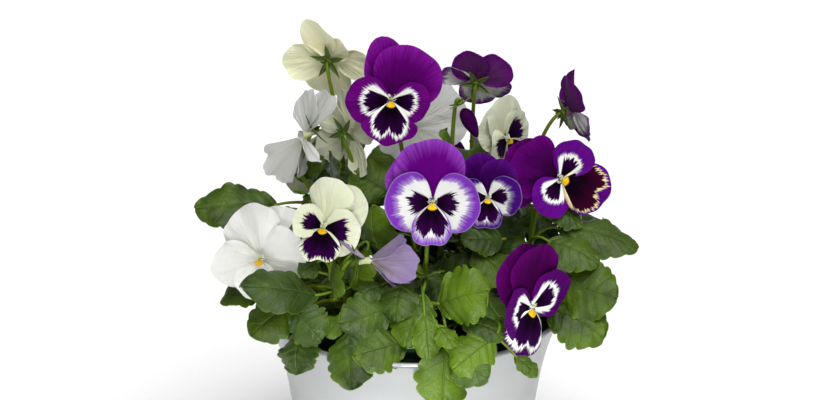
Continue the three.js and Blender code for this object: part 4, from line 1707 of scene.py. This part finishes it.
class Room:
    """What is already taken inside the bush, so that hidden leaves go where there is room."""

    def __init__(self, meshes: Sequence[bpy.types.Mesh], gap: float = 4.5, spacing: float = 7.2) -> None:
        """Notes the corners and the face middles of meshes.

        Args:
            meshes: The nodes' meshes.
            gap: How far a hidden leaf stays from them, in millimetres.
            spacing: How far it stays from other hidden leaves.
        """
        places = [vertex.co for mesh in meshes for vertex in mesh.vertices]
        places += [face.center for mesh in meshes for face in mesh.polygons]
        self.tree = tree_of(places)
        self.gap = gap
        self.spacing = spacing
        self.taken: list[Array] = []

    def take(self, places: Sequence[Array]) -> bool:
        """Takes places up, if no node and no hidden leaf is near any of them.

        Args:
            places: The places, in millimetres.

        Returns:
            Whether they were free.
        """
        if any(self.tree.find(place * MM)[2] < self.gap * MM for place in places):
            return False
        if self.taken:
            away = np.linalg.norm(np.array(self.taken)[:, None] - np.array(places)[None], axis=2)
            if away.min() <= self.spacing:
                return False
        self.taken += places
        return True


def leaf_edge(share: Array | float, teeth: int, depth: float) -> Array | float:
    """A leaf's width over its greatest one, a share of its length along, with notches between its teeth."""
    outline = np.sin(math.pi * np.clip(share, 1e-4, 0.9999) ** 1.1) ** 0.58
    return outline * (1 - depth * (1 - np.abs(np.sin(math.pi * teeth * share))))


@dataclass(frozen=True)
class ToothedLeaf:
    """How a leaf blade is shaped: arched along, sagging to its sides, puckered between its veins.

    Pucker, ripple, twist and groove are heights over the blade's width, and bend is a sideways
    shift over its length.
    """

    usual_teeth: int = 6
    tooth_counts: tuple[int, ...] = (5, 6, 7)
    small_teeth: int = 4
    small_width: float = 20.0
    tooth_depth: float = 0.14
    fullness: float = 1.07
    pucker: float = 0.015
    ripple: float = 0.065
    waves: float = 2.2
    twist: float = 0.14
    groove: float = 0.014
    groove_width: float = 0.07
    sag: Pair = (0.14, 0.42)
    bend: float = 0.03
    painted_sheen_range: Pair = (-0.6, 1.0)

    def build(self, sheet: Sheet, blade: Blade, tone: float, draw: Random) -> Piece:
        """Shapes one blade.

        Args:
            sheet: The grid that it is copied from.
            blade: Where it stands.
            tone: 0 for an old dark leaf, 1 for a young bright one, below 0 for painted shade in the bush.
            draw: The shoot's draws, which make each leaf a little different.

        Returns:
            The blade as a sheet with no thickness yet.
        """
        length, width = blade.length, blade.width
        across, share = sheet.across, sheet.along * 0.992 + 0.004
        side = np.abs(across)
        lean = share + draw.uniform(0, 0.5) / self.usual_teeth * (across > 0) * np.sin(math.pi * share)
        teeth = draw.choice(self.tooth_counts) if width > self.small_width else self.small_teeth
        notch = (1 - np.abs(np.sin(math.pi * teeth * (lean - 0.05 * side)))) ** 1.5
        half = leaf_edge(share, 1, 0.0) * width * self.fullness / 2
        half = half * (1 - self.tooth_depth * draw.uniform(0.7, 1.2) * notch * side**6)
        run = share - side * VEIN_SLANT - side * side * VEIN_CURVE
        pucker = -np.cos(math.tau * teeth * run) * side * (1 - side**3) * self.pucker * width
        ripple = np.sin(math.tau * (self.waves * share + draw.random()) + across) * side**3
        ripple = ripple * self.ripple * width
        twist = draw.uniform(-self.twist, self.twist) * across * (share - 0.3) * width
        groove = -np.exp(-((across / self.groove_width) ** 2)) * self.groove * width
        rise = LEAF_ARCH * length * share * (1 - share) - draw.uniform(*self.sag) * half * side**2
        rise += pucker + ripple + twist + groove
        bend = self.bend * length * np.sin(math.pi * share) * draw.uniform(-1, 1)
        ways = blade.directions()
        made = sheet.copy("blade", blade.base, ways, share * length, across * half + bend, rise)
        # How far this leaf takes the bluish-grey cast that is painted in for satin sheen.
        cool = max(0.0, draw.uniform(*self.painted_sheen_range))
        mark(made, tone=tone, cool=cool, veins=min(5.0, teeth - 1.0))
        return made


@dataclass
class LeafyShoot:
    """A stem with its toothed leaves and stipules, its flower stalk and its calyx."""

    shoot: Shoot
    node: bpy.types.Mesh
    sheets: dict[str, Sheet]
    room: Room
    finishes: Finishes
    form: ToothedLeaf = ToothedLeaf()
    thickness: float = 0.55
    stem_radius: float = 2.1
    stem_end: float = 1.5
    stalk_radii: Pair = (1.25, 0.85)
    stalk_inset: float = 2.0
    stalk_steps: int = 12
    flower_stalk_radius: float = 1.15
    flower_stalk_swell: tuple[float, ...] = (1.15, 1.5, 1.9)
    flower_stalk_end: float = 7.5
    hole_depth: float = 25.6
    collar_rise: float = 6.0
    calyx_depth: float = 7.2
    sepals: int = 5
    sepal_share: float = 0.24
    bud_sepal: float = 9.0
    small_teeth: int = 3
    small_notch: float = 0.25
    leaflet_turn: float = 2.4
    leaflet_lengths: Pair = (11.0, 21.0)
    hidden_lengths: Pair = (20.0, 36.0)
    tries: int = 220
    most_hidden: int = 8
    bush_radius: float = 92.0
    bush_height: float = 78.0

    def __post_init__(self) -> None:
        """Reads the stem's line, the corners of the shoot's node and how its bloom faces."""
        self.draw = Random(self.shoot.name)
        root = self.shoot.root
        collar = vec(*root, COMPOST_TOP + self.collar_rise)
        end = above_rim(*self.shoot.top)
        middle = vec(*root, (end[2] + collar[2]) / 2)
        self.stem = [collar, middle + 0.25 * (end - middle), end]
        self.corners = tree_of([vertex.co for vertex in self.node.vertices])
        if self.shoot.bloom:
            self.facing = self.shoot.bloom.facing()

    def origin(self, leaf: Leaf) -> Array:
        """The place on the stem that a leaf grows from: lower leaves come from lower down.

        Args:
            leaf: The leaf as the table gives it.

        Returns:
            The place.
        """
        top = self.shoot.top
        height = leaf.base_h - 0.3 * math.hypot(leaf.base_x - top[0], leaf.base_y - top[1])
        share = min(0.98, max(0.1, (height + 5) / (top[2] + 5)))
        fine = bezier(self.stem, np.linspace(0, 1, 201))
        steps = np.linalg.norm(np.diff(fine, axis=0), axis=1)
        lengths = np.concatenate([[0.0], np.cumsum(steps)])
        return np.array([np.interp(share * lengths[-1], lengths, fine[:, k]) for k in range(3)])

    def nearest(self, place: Array) -> Array:
        """The place on the stem a little below the one that is nearest to a leaf."""
        line = bezier(self.stem, np.linspace(0, 1, 41))
        return line[max(0, int(np.linalg.norm(line - place, axis=1).argmin()) - 4)]

    def settle(self, leaf: Leaf) -> Blade:
        """Finds where a leaf of the node lies after it stepped and rolled clear of other shoots.

        Args:
            leaf: The leaf as the table gives it.

        Returns:
            The leaf where it stands.
        """
        least, found = math.inf, leaf.placed()
        for step in STEPS:
            if self.corners.find(leaf.placed(step).tip * MM)[2] > TIP_MISS:
                continue
            for roll in ROLLS:
                blade = leaf.placed(step, roll)
                miss = self.miss(blade)
                if miss < least:
                    least, found = miss, blade
        if least is math.inf:
            log.info("%s: no corner near the leaf at %s", self.shoot.name, leaf)
        return found

    def miss(self, blade: Blade) -> float:
        """How far a blade's own edge corners would lie from the corners of the node.

        Args:
            blade: The blade.

        Returns:
            The sum of the distances, in millimetres.
        """
        along, sideways, normal = blade.directions()
        length, teeth = blade.length, 4 if blade.width > 29 else 3
        total = 0.0
        for step in range(1, 2 * teeth):
            share = step / (2 * teeth)
            half = leaf_edge(share, teeth, 0.13) * blade.width / 2
            middle = blade.base + along * length * share + normal * LEAF_ARCH * length * share * (1 - share)
            for side in (-1, 1):
                corner = middle + sideways * side * half - normal * LEAF_SAG * half
                total += min(3.0, self.corners.find(corner * MM)[2] / MM)
        return total

    def hidden_leaves(self) -> list[Blade]:
        """Leaves deep in the bush, each where the frame's own leaves and blooms leave room.

        Returns:
            The leaves where they stand.
        """
        found = [leaf.placed() for leaf in FILLERS.get(self.shoot.name, ())]
        for _ in range(self.tries):
            start = bezier(self.stem, [self.draw.uniform(0.1, 0.95)])[0]
            out = math.atan2(start[1], start[0]) + self.draw.gauss(0, 1.0)
            length = self.draw.uniform(*self.hidden_lengths)
            way = unit(vec(math.cos(out), math.sin(out), self.draw.uniform(-0.25, 0.7)))
            base = start + way * self.draw.uniform(6, 20)
            tip = base + way * length
            if math.hypot(tip[0], tip[1]) > self.bush_radius or tip[2] > POT_HEIGHT + self.bush_height:
                continue
            width = length * self.draw.uniform(0.7, 0.9)
            sideways = unit(np.cross(way, UP)) * width * 0.4
            line = [base + (tip - base) * share for share in (0.1, 0.4, 0.7, 1.0)]
            flanks = [line[1] + sideways, line[1] - sideways, line[2] + sideways, line[2] - sideways]
            if self.room.take(line + flanks):
                found.append(Blade(base, tip, width, self.draw.uniform(-25, 25)))
            if len(found) >= self.most_hidden:
                break
        return found

    def small_leaves(self) -> list[Piece]:
        """Stipules and young leaflets round the stem, which fill the heart of the bush.

        Returns:
            The small leaves as sheets.
        """
        count = 5 + int(self.shoot.top[2] / 16)
        made = []
        for i in range(count):
            share = 0.2 + 0.75 * (i + 0.5) / count
            start = bezier(self.stem, [share])[0]
            angle = i * self.leaflet_turn + self.draw.uniform(-0.4, 0.4)
            out = vec(math.cos(angle), math.sin(angle), self.draw.uniform(0.2, 0.8))
            length = self.draw.uniform(*self.leaflet_lengths) * (1.1 - 0.4 * share)
            width = length * self.draw.uniform(0.32, 0.5)
            blade = Blade(start, start + unit(out) * length, width, self.draw.uniform(-25, 25))
            made.append(self.leaflet(blade, tone=0.15 + 0.5 * share))
        return made

    def leaflet(self, blade: Blade, tone: float) -> Piece:
        """Shapes a small pointed leaf.

        Args:
            blade: Where it stands.
            tone: 0 for an old dark leaf and 1 for a young bright one.

        Returns:
            The leaflet as a sheet with no thickness yet.
        """
        sheet, length = self.sheets["scale"], blade.length
        across, share = sheet.across, sheet.along
        outline = np.sin(math.pi * np.clip(share, 0.02, 0.999) ** 0.8) ** 0.8
        notch = 1 - np.abs(np.sin(math.pi * self.small_teeth * share))
        half = outline * (1 - self.small_notch * notch * np.abs(across) ** 4) * blade.width / 2
        rise = 0.3 * length * share * (1 - share) + 0.22 * half * np.abs(across) ** 1.5
        made = sheet.copy("leaflet", blade.base, blade.directions(), share * length, across * half, rise)
        mark(made, tone=tone)
        return made

    def calyx(self) -> list[Piece]:
        """Pointed sepals behind the bloom, each with a blunt lobe that points back.

        Returns:
            The sepals and the lobes as sheets.
        """
        bloom, face = self.shoot.bloom, self.facing.face
        heart = bloom.place - face * self.calyx_depth
        length = self.bud_sepal if bloom.variety is Variety.BUD else self.sepal_share * bloom.width
        made = []
        for i in range(self.sepals):
            out = self.facing.around(math.tau * i / self.sepals + 0.3)
            made.append(self.sepal(heart + face * 0.8, out, length, slim=0.30, sweep=-0.22))
            made.append(self.sepal(heart, out, 0.5 * length, slim=0.5, sweep=-1.1))
        return made

    def sepal(self, base: Array, out: Array, length: float, slim: float, sweep: float) -> Piece:
        """Shapes one sepal.

        Args:
            base: Where it starts.
            out: The way from the bloom's middle.
            length: Its length in millimetres.
            slim: Its width over its length.
            sweep: How much it leans forward, or back below 0.

        Returns:
            The sepal as a sheet with no thickness yet.
        """
        sheet, face = self.sheets["scale"], self.facing.face
        along = unit(out + face * sweep)
        sideways = unit(np.cross(along, face))
        across, share = sheet.across, sheet.along
        half = np.sin(math.pi * np.clip(share, 0.06, 0.999) ** 0.7) ** 0.9 * slim * length / 2
        rise = 0.16 * length * share * (1 - share) - 0.3 * half * across**2
        ways = (along, sideways, np.cross(sideways, along))
        made = sheet.copy("sepal", base, ways, share * length, across * half, rise)
        mark(made, tone=0.35)
        return made

    def flower_stalk(self) -> Array:
        """The line of the flower stalk, which rises and hooks over into the calyx.

        Returns:
            Its places, one in each row.
        """
        bloom, face = self.shoot.bloom, self.facing.face
        top = self.stem[2] - UP * 2
        end = bloom.place - face * self.flower_stalk_end
        rise = max(14.0, 0.55 * float(np.linalg.norm(top - end)))
        crook = 7 if bloom.variety is Variety.BUD else 3
        hook = end - face * 0.22 * rise + UP * crook
        return bezier([top, top + UP * rise, hook, end], np.linspace(0, 1, 26))

    def stalks(self, settled: list[Blade], hidden: list[Blade]) -> Piece:
        """The stem, the leaf stalks and the flower stalk.

        Args:
            settled: The node's leaves.
            hidden: The leaves deep in the bush.

        Returns:
            All of them as one mesh piece.
        """
        twigs = Twigs("stalks")
        foot = self.stem[0] - UP * (self.collar_rise + self.hole_depth)
        rise = bezier(self.stem, np.linspace(0, 1, 22))
        radii = np.linspace(self.stem_radius, self.stem_end, len(rise))
        twigs.add(np.vstack([foot, rise]), [self.stem_radius, *radii])
        origins = [self.origin(leaf) for leaf in self.shoot.leaves]
        origins += [self.nearest(blade.base) for blade in hidden]
        for start, blade in zip(origins, settled + hidden):
            along, _, _ = blade.directions()
            reach = float(np.linalg.norm(blade.base - start))
            bow = blade.base - along * 0.4 * reach + UP * 0.12 * reach
            inset = blade.base + along * self.stalk_inset
            line = bezier([start, bow, inset], np.linspace(0, 1, self.stalk_steps))
            radii = np.linspace(*self.stalk_radii, self.stalk_steps)
            twigs.add(line, radii * (0.7 + blade.width / 110))
        if self.shoot.bloom:
            line = self.flower_stalk()
            radii = np.linspace(1.3, 0.95, len(line)) * self.flower_stalk_radius
            radii[-3:] *= self.flower_stalk_swell
            twigs.add(line, radii)
        return twigs.mesh()

    def build(self) -> None:
        """Makes every blade and stalk and joins them in one piece."""
        settled = [self.settle(leaf) for leaf in self.shoot.leaves]
        blades = []
        for leaf, blade in zip(self.shoot.leaves, settled):
            young = max(0.0, 1 - leaf.width / 34) * 0.6
            low = max(0.0, 26 - leaf.base_h) / 90
            tone = min(1.0, max(0.0, young + low + self.draw.uniform(-0.25, 0.55)))
            blades.append(self.form.build(self.sheets["blade"], blade, tone, self.draw))
        hidden = self.hidden_leaves()
        for blade in hidden:
            # Leaves deep in the bush take a tone below 0, darker than any leaf in view, as painted shade.
            tone = self.draw.uniform(0, 0.3) - 0.4
            blades.append(self.form.build(self.sheets["hidden"], blade, tone, self.draw))
        blades += self.small_leaves()
        if self.shoot.bloom:
            blades += self.calyx()
        for blade in blades:
            wear(blade, *self.finishes.foliage)
        leafy = join(blades, "leafy")
        weld(leafy)
        thicken(leafy, self.thickness, back=1)
        stalks = self.stalks(settled, hidden)
        wear(stalks, self.finishes.foliage[2])
        self.piece = join([leafy, stalks], f"foliage_{self.shoot.name}")
        soften(self.piece, 55)

    def dress(self) -> None:
        """Sets the shoot on its node."""
        settle_piece(self.piece, "foliage", f"shoot_{self.shoot.name}")


@dataclass
class PansyBloom:
    """Five velvety petals in layers, with the throat, its hair tufts, the style and the spur."""

    name: str
    bloom: Bloom
    sheet: Sheet
    finishes: Finishes
    thickness: float = 0.34
    curl: float = 0.04
    cup: float = 0.05
    spur_radii: Pair = (0.05, 0.028)
    hairs: int = 9
    hair_radii: tuple[float, ...] = (0.2, 0.16, 0.08)
    bud_share: float = 0.72
    bud_wraps: int = 3

    def __post_init__(self) -> None:
        """Works out where the bloom is and how it faces."""
        self.facing = self.bloom.facing()
        self.eye = self.bloom.place
        self.draw = Random("bloom " + self.name)
        self.ruffle = self.bloom.ruffle or RUFFLES[self.bloom.variety]

    def petal(self, role: Role, form: Petal, index: int) -> Piece:
        """Shapes one petal: a ruffled fan round the eye.

        Args:
            role: Where it sits on the bloom.
            form: The petal's form.
            index: Its place in the layers.

        Returns:
            The petal as a sheet with no thickness yet.
        """
        face = self.facing.face
        length = form.length * self.bloom.width * self.draw.uniform(0.95, 1.04)
        spread = math.radians(form.spread)
        lift = math.radians(form.lift + self.bloom.cup)
        along = self.facing.around(math.radians(form.angle + self.draw.uniform(-3, 3)))
        column = np.sin(self.sheet.across * math.pi / 2) * 0.988
        ring = 0.03 + 0.97 * self.sheet.along
        angle = column * spread
        swing = angle / spread
        seeds = [self.draw.uniform(0, 6.28) for _ in range(4)]

        fan = np.cos(math.pi / 2 * column) ** form.roundness
        tip = form.point * np.exp(-((angle / (0.3 * spread)) ** 2))
        notch = form.notch * np.exp(-((angle / (0.2 * spread)) ** 2))
        scallop = np.sin(7 * swing + seeds[0]) + 0.7 * np.sin(15 * swing + seeds[1])
        uneven = np.sin(2.6 * swing + seeds[3])
        reach = ring * length * fan * (1 + tip - notch)
        reach = reach * (1 + 0.012 * scallop * ring**6 + 0.6 * self.ruffle * uneven * ring**2)
        out, side = reach * np.cos(angle), reach * np.sin(angle)

        bend = out * math.sin(lift) - (self.curl + form.curl) * length * ring**3
        bend += self.cup * side * side / length + form.fold * (np.sqrt(side**2 + 2.0) - 1.41)
        bend += (form.tilt + self.draw.uniform(-0.04, 0.04)) * side
        wave = np.sin(4.2 * swing + seeds[2]) + 0.6 * np.sin(9 * swing + seeds[3])
        wave += 0.3 * np.sin(19 * swing + seeds[0]) * ring**3
        bend += self.ruffle * length * wave * ring**3
        bend += 0.012 * length * np.sin(11 * column + seeds[1]) * ring**2 * (1 - ring) * 4
        fold = np.sin(2.3 * swing + seeds[0]) * np.sin(math.pi * np.minimum(1.0, 1.15 * ring))
        bend += 0.5 * self.ruffle * length * fold
        if role is Role.LOWEST:
            bend += 1.3 * np.exp(-(((reach / length - 0.16) / 0.08) ** 2)) * np.exp(-((column / 0.5) ** 2))

        base, ways = self.eye + face * form.depth, (along, np.cross(along, face), face)
        made = self.sheet.copy("petal", base, ways, out * math.cos(lift), side, bend)
        lean = column if form.angle >= 0 else -column
        mark(made, out=reach / length, lean=lean, seed=10 * self.draw.random() + 3 * index)
        return made

    def spur(self) -> Twigs:
        """The spur.

        Returns:
            The twig that runs back from the eye.
        """
        eye, face, width = self.eye, self.facing.face, self.bloom.width
        line = [eye + face, eye - face * 3.0, eye - face * 8.0 - self.facing.up * 0.06 * width]
        twigs = Twigs("spur")
        twigs.add(bezier(line, np.linspace(0, 1, 8)), np.linspace(*self.spur_radii, 8) * width)
        return twigs

    def tufts(self) -> Twigs:
        """The hair tufts.

        Returns:
            The short hairs at both sides of the eye.
        """
        face, up, right, width = self.facing.face, self.facing.up, self.facing.right, self.bloom.width
        twigs = Twigs("hairs")
        for side in (-1, 1):
            for _ in range(self.hairs):
                root = self.eye + right * side * self.draw.uniform(0.025, 0.05) * width
                root = root + up * self.draw.uniform(0.0, 0.06) * width + face * 0.9
                lean = unit(face - right * side * 0.7 + up * self.draw.uniform(-0.6, 0.4))
                size = self.draw.uniform(0.9, 1.6) * width / 60
                line = [root, root + lean * size, root + (lean - up * 0.15) * 1.6 * size]
                twigs.add(line, self.hair_radii)
        return twigs

    def style(self) -> Twigs:
        """The style.

        Returns:
            The round-headed twig in the middle of the eye.
        """
        face, width = self.facing.face, self.bloom.width
        line = [self.eye + face * step for step in (0.0, 1.6, 2.4, 3.1, 3.5)]
        radii = np.array((0.6, 0.7, 1.0, 0.8, 0.3)) * width / 60
        twigs = Twigs("style")
        twigs.add(np.array(line) + self.facing.up * 0.012 * width, radii)
        return twigs

    def throat(self) -> list[Piece]:
        """The spur, the hair tufts and the style.

        Returns:
            The three pieces.
        """
        spur = VIOLET_SPUR if self.bloom.variety is Variety.VIOLET else PALE_SPUR
        parts = ((self.spur(), spur), (self.tufts(), THROAT_HAIR), (self.style(), STYLE_GREEN))
        pieces = []
        for twigs, finish in parts:
            made = twigs.mesh()
            mark(made, out=0.9, lean=0.0, seed=1.0)
            wear(made, self.finishes.material(finish))
            pieces.append(made)
        return pieces

    def open_bloom(self) -> list[Piece]:
        """The five petals and the throat.

        Returns:
            The petals as one piece, and the pieces of the throat.
        """
        roles = list(Role)
        materials = self.finishes.petals(self.name, self.bloom.variety)
        petals = []
        for index, (role, form) in enumerate(zip(PETAL_ROLES, OWN_PETALS.get(self.name, PETALS))):
            made = self.petal(role, form, index)
            wear(made, *materials)
            slots = np.full(len(made.data.polygons), 2 * roles.index(role), dtype=np.int32)
            made.data.polygons.foreach_set("material_index", slots)
            petals.append(made)
        fan = join(petals, "petals")
        thicken(fan, self.thickness, back=1)
        return [fan, *self.throat()]

    def furled_bud(self) -> list[Piece]:
        """A furled bud: petals rolled round each other into a drooping cone.

        Returns:
            The bud, alone in a list.
        """
        length = self.bud_share * self.bloom.width
        across, share = self.sheet.across, self.sheet.along
        ways = (self.facing.face, self.facing.up, self.facing.right)
        start = self.eye - self.facing.face * 3.5
        wraps = []
        for index in range(self.bud_wraps):
            angle = across * math.pi * 0.8 + index * 2.1 + share * 0.9
            belly = 0.02 + 0.225 * np.sin(math.pi * share**0.74) ** 0.72 * (1 - 0.15 * share)
            radius = belly * length * (0.97 - 0.03 * index - 0.04 * across)
            made = self.sheet.copy(
                "wrap", start, ways, share * length, radius * np.cos(angle), radius * np.sin(angle)
            )
            mark(made, out=0.9, lean=across, seed=float(index))
            wear(made, self.finishes.material(BUD_PAINT))
            wraps.append(made)
        bud = join(wraps, "bud")
        thicken(bud, self.thickness)
        return [bud]

    def build(self) -> None:
        """Makes the bloom in one piece."""
        furled = self.bloom.variety is Variety.BUD
        parts = self.furled_bud() if furled else self.open_bloom()
        self.piece = join(parts, f"flower_{self.name}")
        soften(self.piece, 55)

    def dress(self) -> None:
        """Sets the bloom on its node."""
        variety = self.bloom.variety
        slot = "bud_violet" if variety is Variety.BUD else f"petal_{variety.value}"
        settle_piece(self.piece, slot, f"bloom_{self.name}")


def leafy_shoots() -> list[Shoot]:
    """The table's shoots with the tiers' leaves.

    Each leaf of a tier goes to a shoot whose stem ends near it and that has few leaves yet.

    Returns:
        The shoots, in the table's order.
    """
    shoots = [replace(shoot, leaves=list(shoot.leaves)) for shoot in SHOOTS]
    for level, tier in enumerate(TIERS):
        for index in range(tier.count):
            leaf = tier.leaf(level, index)
            place = (leaf.base_x, leaf.base_y, tier.base[1])
            min(shoots, key=lambda shoot: shoot.distance(place)).leaves.append(leaf)
    return shoots


@dataclass(frozen=True)
class Lamp:
    """A light: its name, kind, place in metres and settings, and the place that it points at."""

    name: str
    kind: str
    place: Point
    settings: dict[str, float]
    aim: Point = (0.0, 0.0, 0.2)

    def build(self) -> None:
        """Puts the light in the scene."""
        data = bpy.data.lights.new(self.name, self.kind)
        for setting, value in self.settings.items():
            setattr(data, setting, value)
        lamp = bpy.data.objects.new(self.name, data)
        lamp.location = self.place
        way = Vector(self.aim) - Vector(self.place)
        lamp.rotation_euler = way.to_track_quat("-Z", "Y").to_euler()
        link(lamp)


LAMPS = (
    Lamp("broad_key", "SUN", (0.35, -0.9, 2.4), {"energy": 3.45, "angle": math.radians(55)}),
    Lamp("softbox_front", "AREA", (0.08, -1.9, 0.55), {"size": 1.0, "energy": 6.5}),
    Lamp("soft_low", "SPOT", (-0.02, -1.3, 0.14),
         {"energy": 190.0, "shadow_soft_size": 0.12, "spot_size": math.radians(11), "spot_blend": 1.0},
         aim=(-0.005, -0.08, 0.075)),
    Lamp("softbox_rear", "AREA", (0.0, 1.9, 1.3), {"size": 1.6, "energy": 3.0}),
)


@dataclass
class Studio:
    """The camera, the pale floor and the soft light."""

    camera_place: Point = (0.0043, -1.18636, 0.70320)
    pitch: float = 22.3
    lens: float = 85.0
    sensor: float = 36.0
    world_strength: float = 0.07
    floor_size: float = 60.0
    floor_drop: float = 0.0002

    def build(self) -> None:
        """Sets up the whole studio."""
        self.camera()
        self.floor()
        self.world()
        for lamp in LAMPS:
            lamp.build()
        bpy.context.scene.view_settings.view_transform = "Standard"

    def camera(self) -> None:
        """Puts a camera in front of the planter, looking down on it a little."""
        data = bpy.data.cameras.new("view")
        data.lens = self.lens
        data.sensor_width = self.sensor
        camera = bpy.data.objects.new("view", data)
        camera.location = self.camera_place
        camera.rotation_euler = (math.radians(90 - self.pitch), 0, 0)
        link(camera)
        bpy.context.scene.camera = camera

    def floor(self) -> None:
        """Adds a large pale floor."""
        select_none()
        bpy.ops.mesh.primitive_plane_add(size=self.floor_size, location=(0, 0, -self.floor_drop))
        floor = bpy.context.object
        floor.name = "floor"
        nodes = Nodes("floor_paint")
        grain = nodes.noise(nodes.places(), 8.0)
        colour = nodes.mix(grain * 0.1, (0.95, 0.95, 0.95), (0.93, 0.93, 0.93))
        wear(floor, nodes.finish(Base_Color=colour, Roughness=0.9, Specular_IOR_Level=0.1))

    def world(self) -> None:
        """Lights everything a little from all round, in white."""
        world = bpy.data.worlds.new("studio")
        world.use_nodes = True
        backdrop = world.node_tree.nodes["Background"]
        backdrop.inputs[0].default_value = (1.0, 1.0, 1.0, 1.0)
        backdrop.inputs[1].default_value = self.world_strength
        bpy.context.scene.world = world


def main() -> None:
    """Builds the planter over its frame."""
    logging.basicConfig(level=logging.INFO, format="%(message)s")
    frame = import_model()
    Studio().build()
    shoots = leafy_shoots()
    finishes = Finishes()
    sheets = {
        "blade": Sheet("leaf_grid", 18, 54),
        "hidden": Sheet("hidden_grid", 8, 20),
        "scale": Sheet("small_grid", 6, 14),
        "petal": Sheet("petal_grid", 40, 22),
    }
    for sheet in sheets.values():
        sheet.build()
    nodes = frame["nodes"]
    room = Room([node.data for name, node in nodes.items() if name.startswith(("shoot_", "bloom_"))])
    cover = CoverPot()
    nursery = NurseryPot(floor=cover.wall + FIT_GAP)
    for part in (cover, nursery, Compost(nursery)):
        part.build()
        part.dress()
    for shoot in shoots:
        leafy = LeafyShoot(shoot, nodes[f"shoot_{shoot.name}"].data, sheets, room, finishes)
        leafy.build()
        leafy.dress()
        if shoot.bloom:
            flower = PansyBloom(shoot.name, shoot.bloom, sheets["petal"], finishes)
            flower.build()
            flower.dress()
    for sheet in sheets.values():
        sheet.discard()
    bpy.context.view_layer.update()


if __name__ == "__main__":
    main()
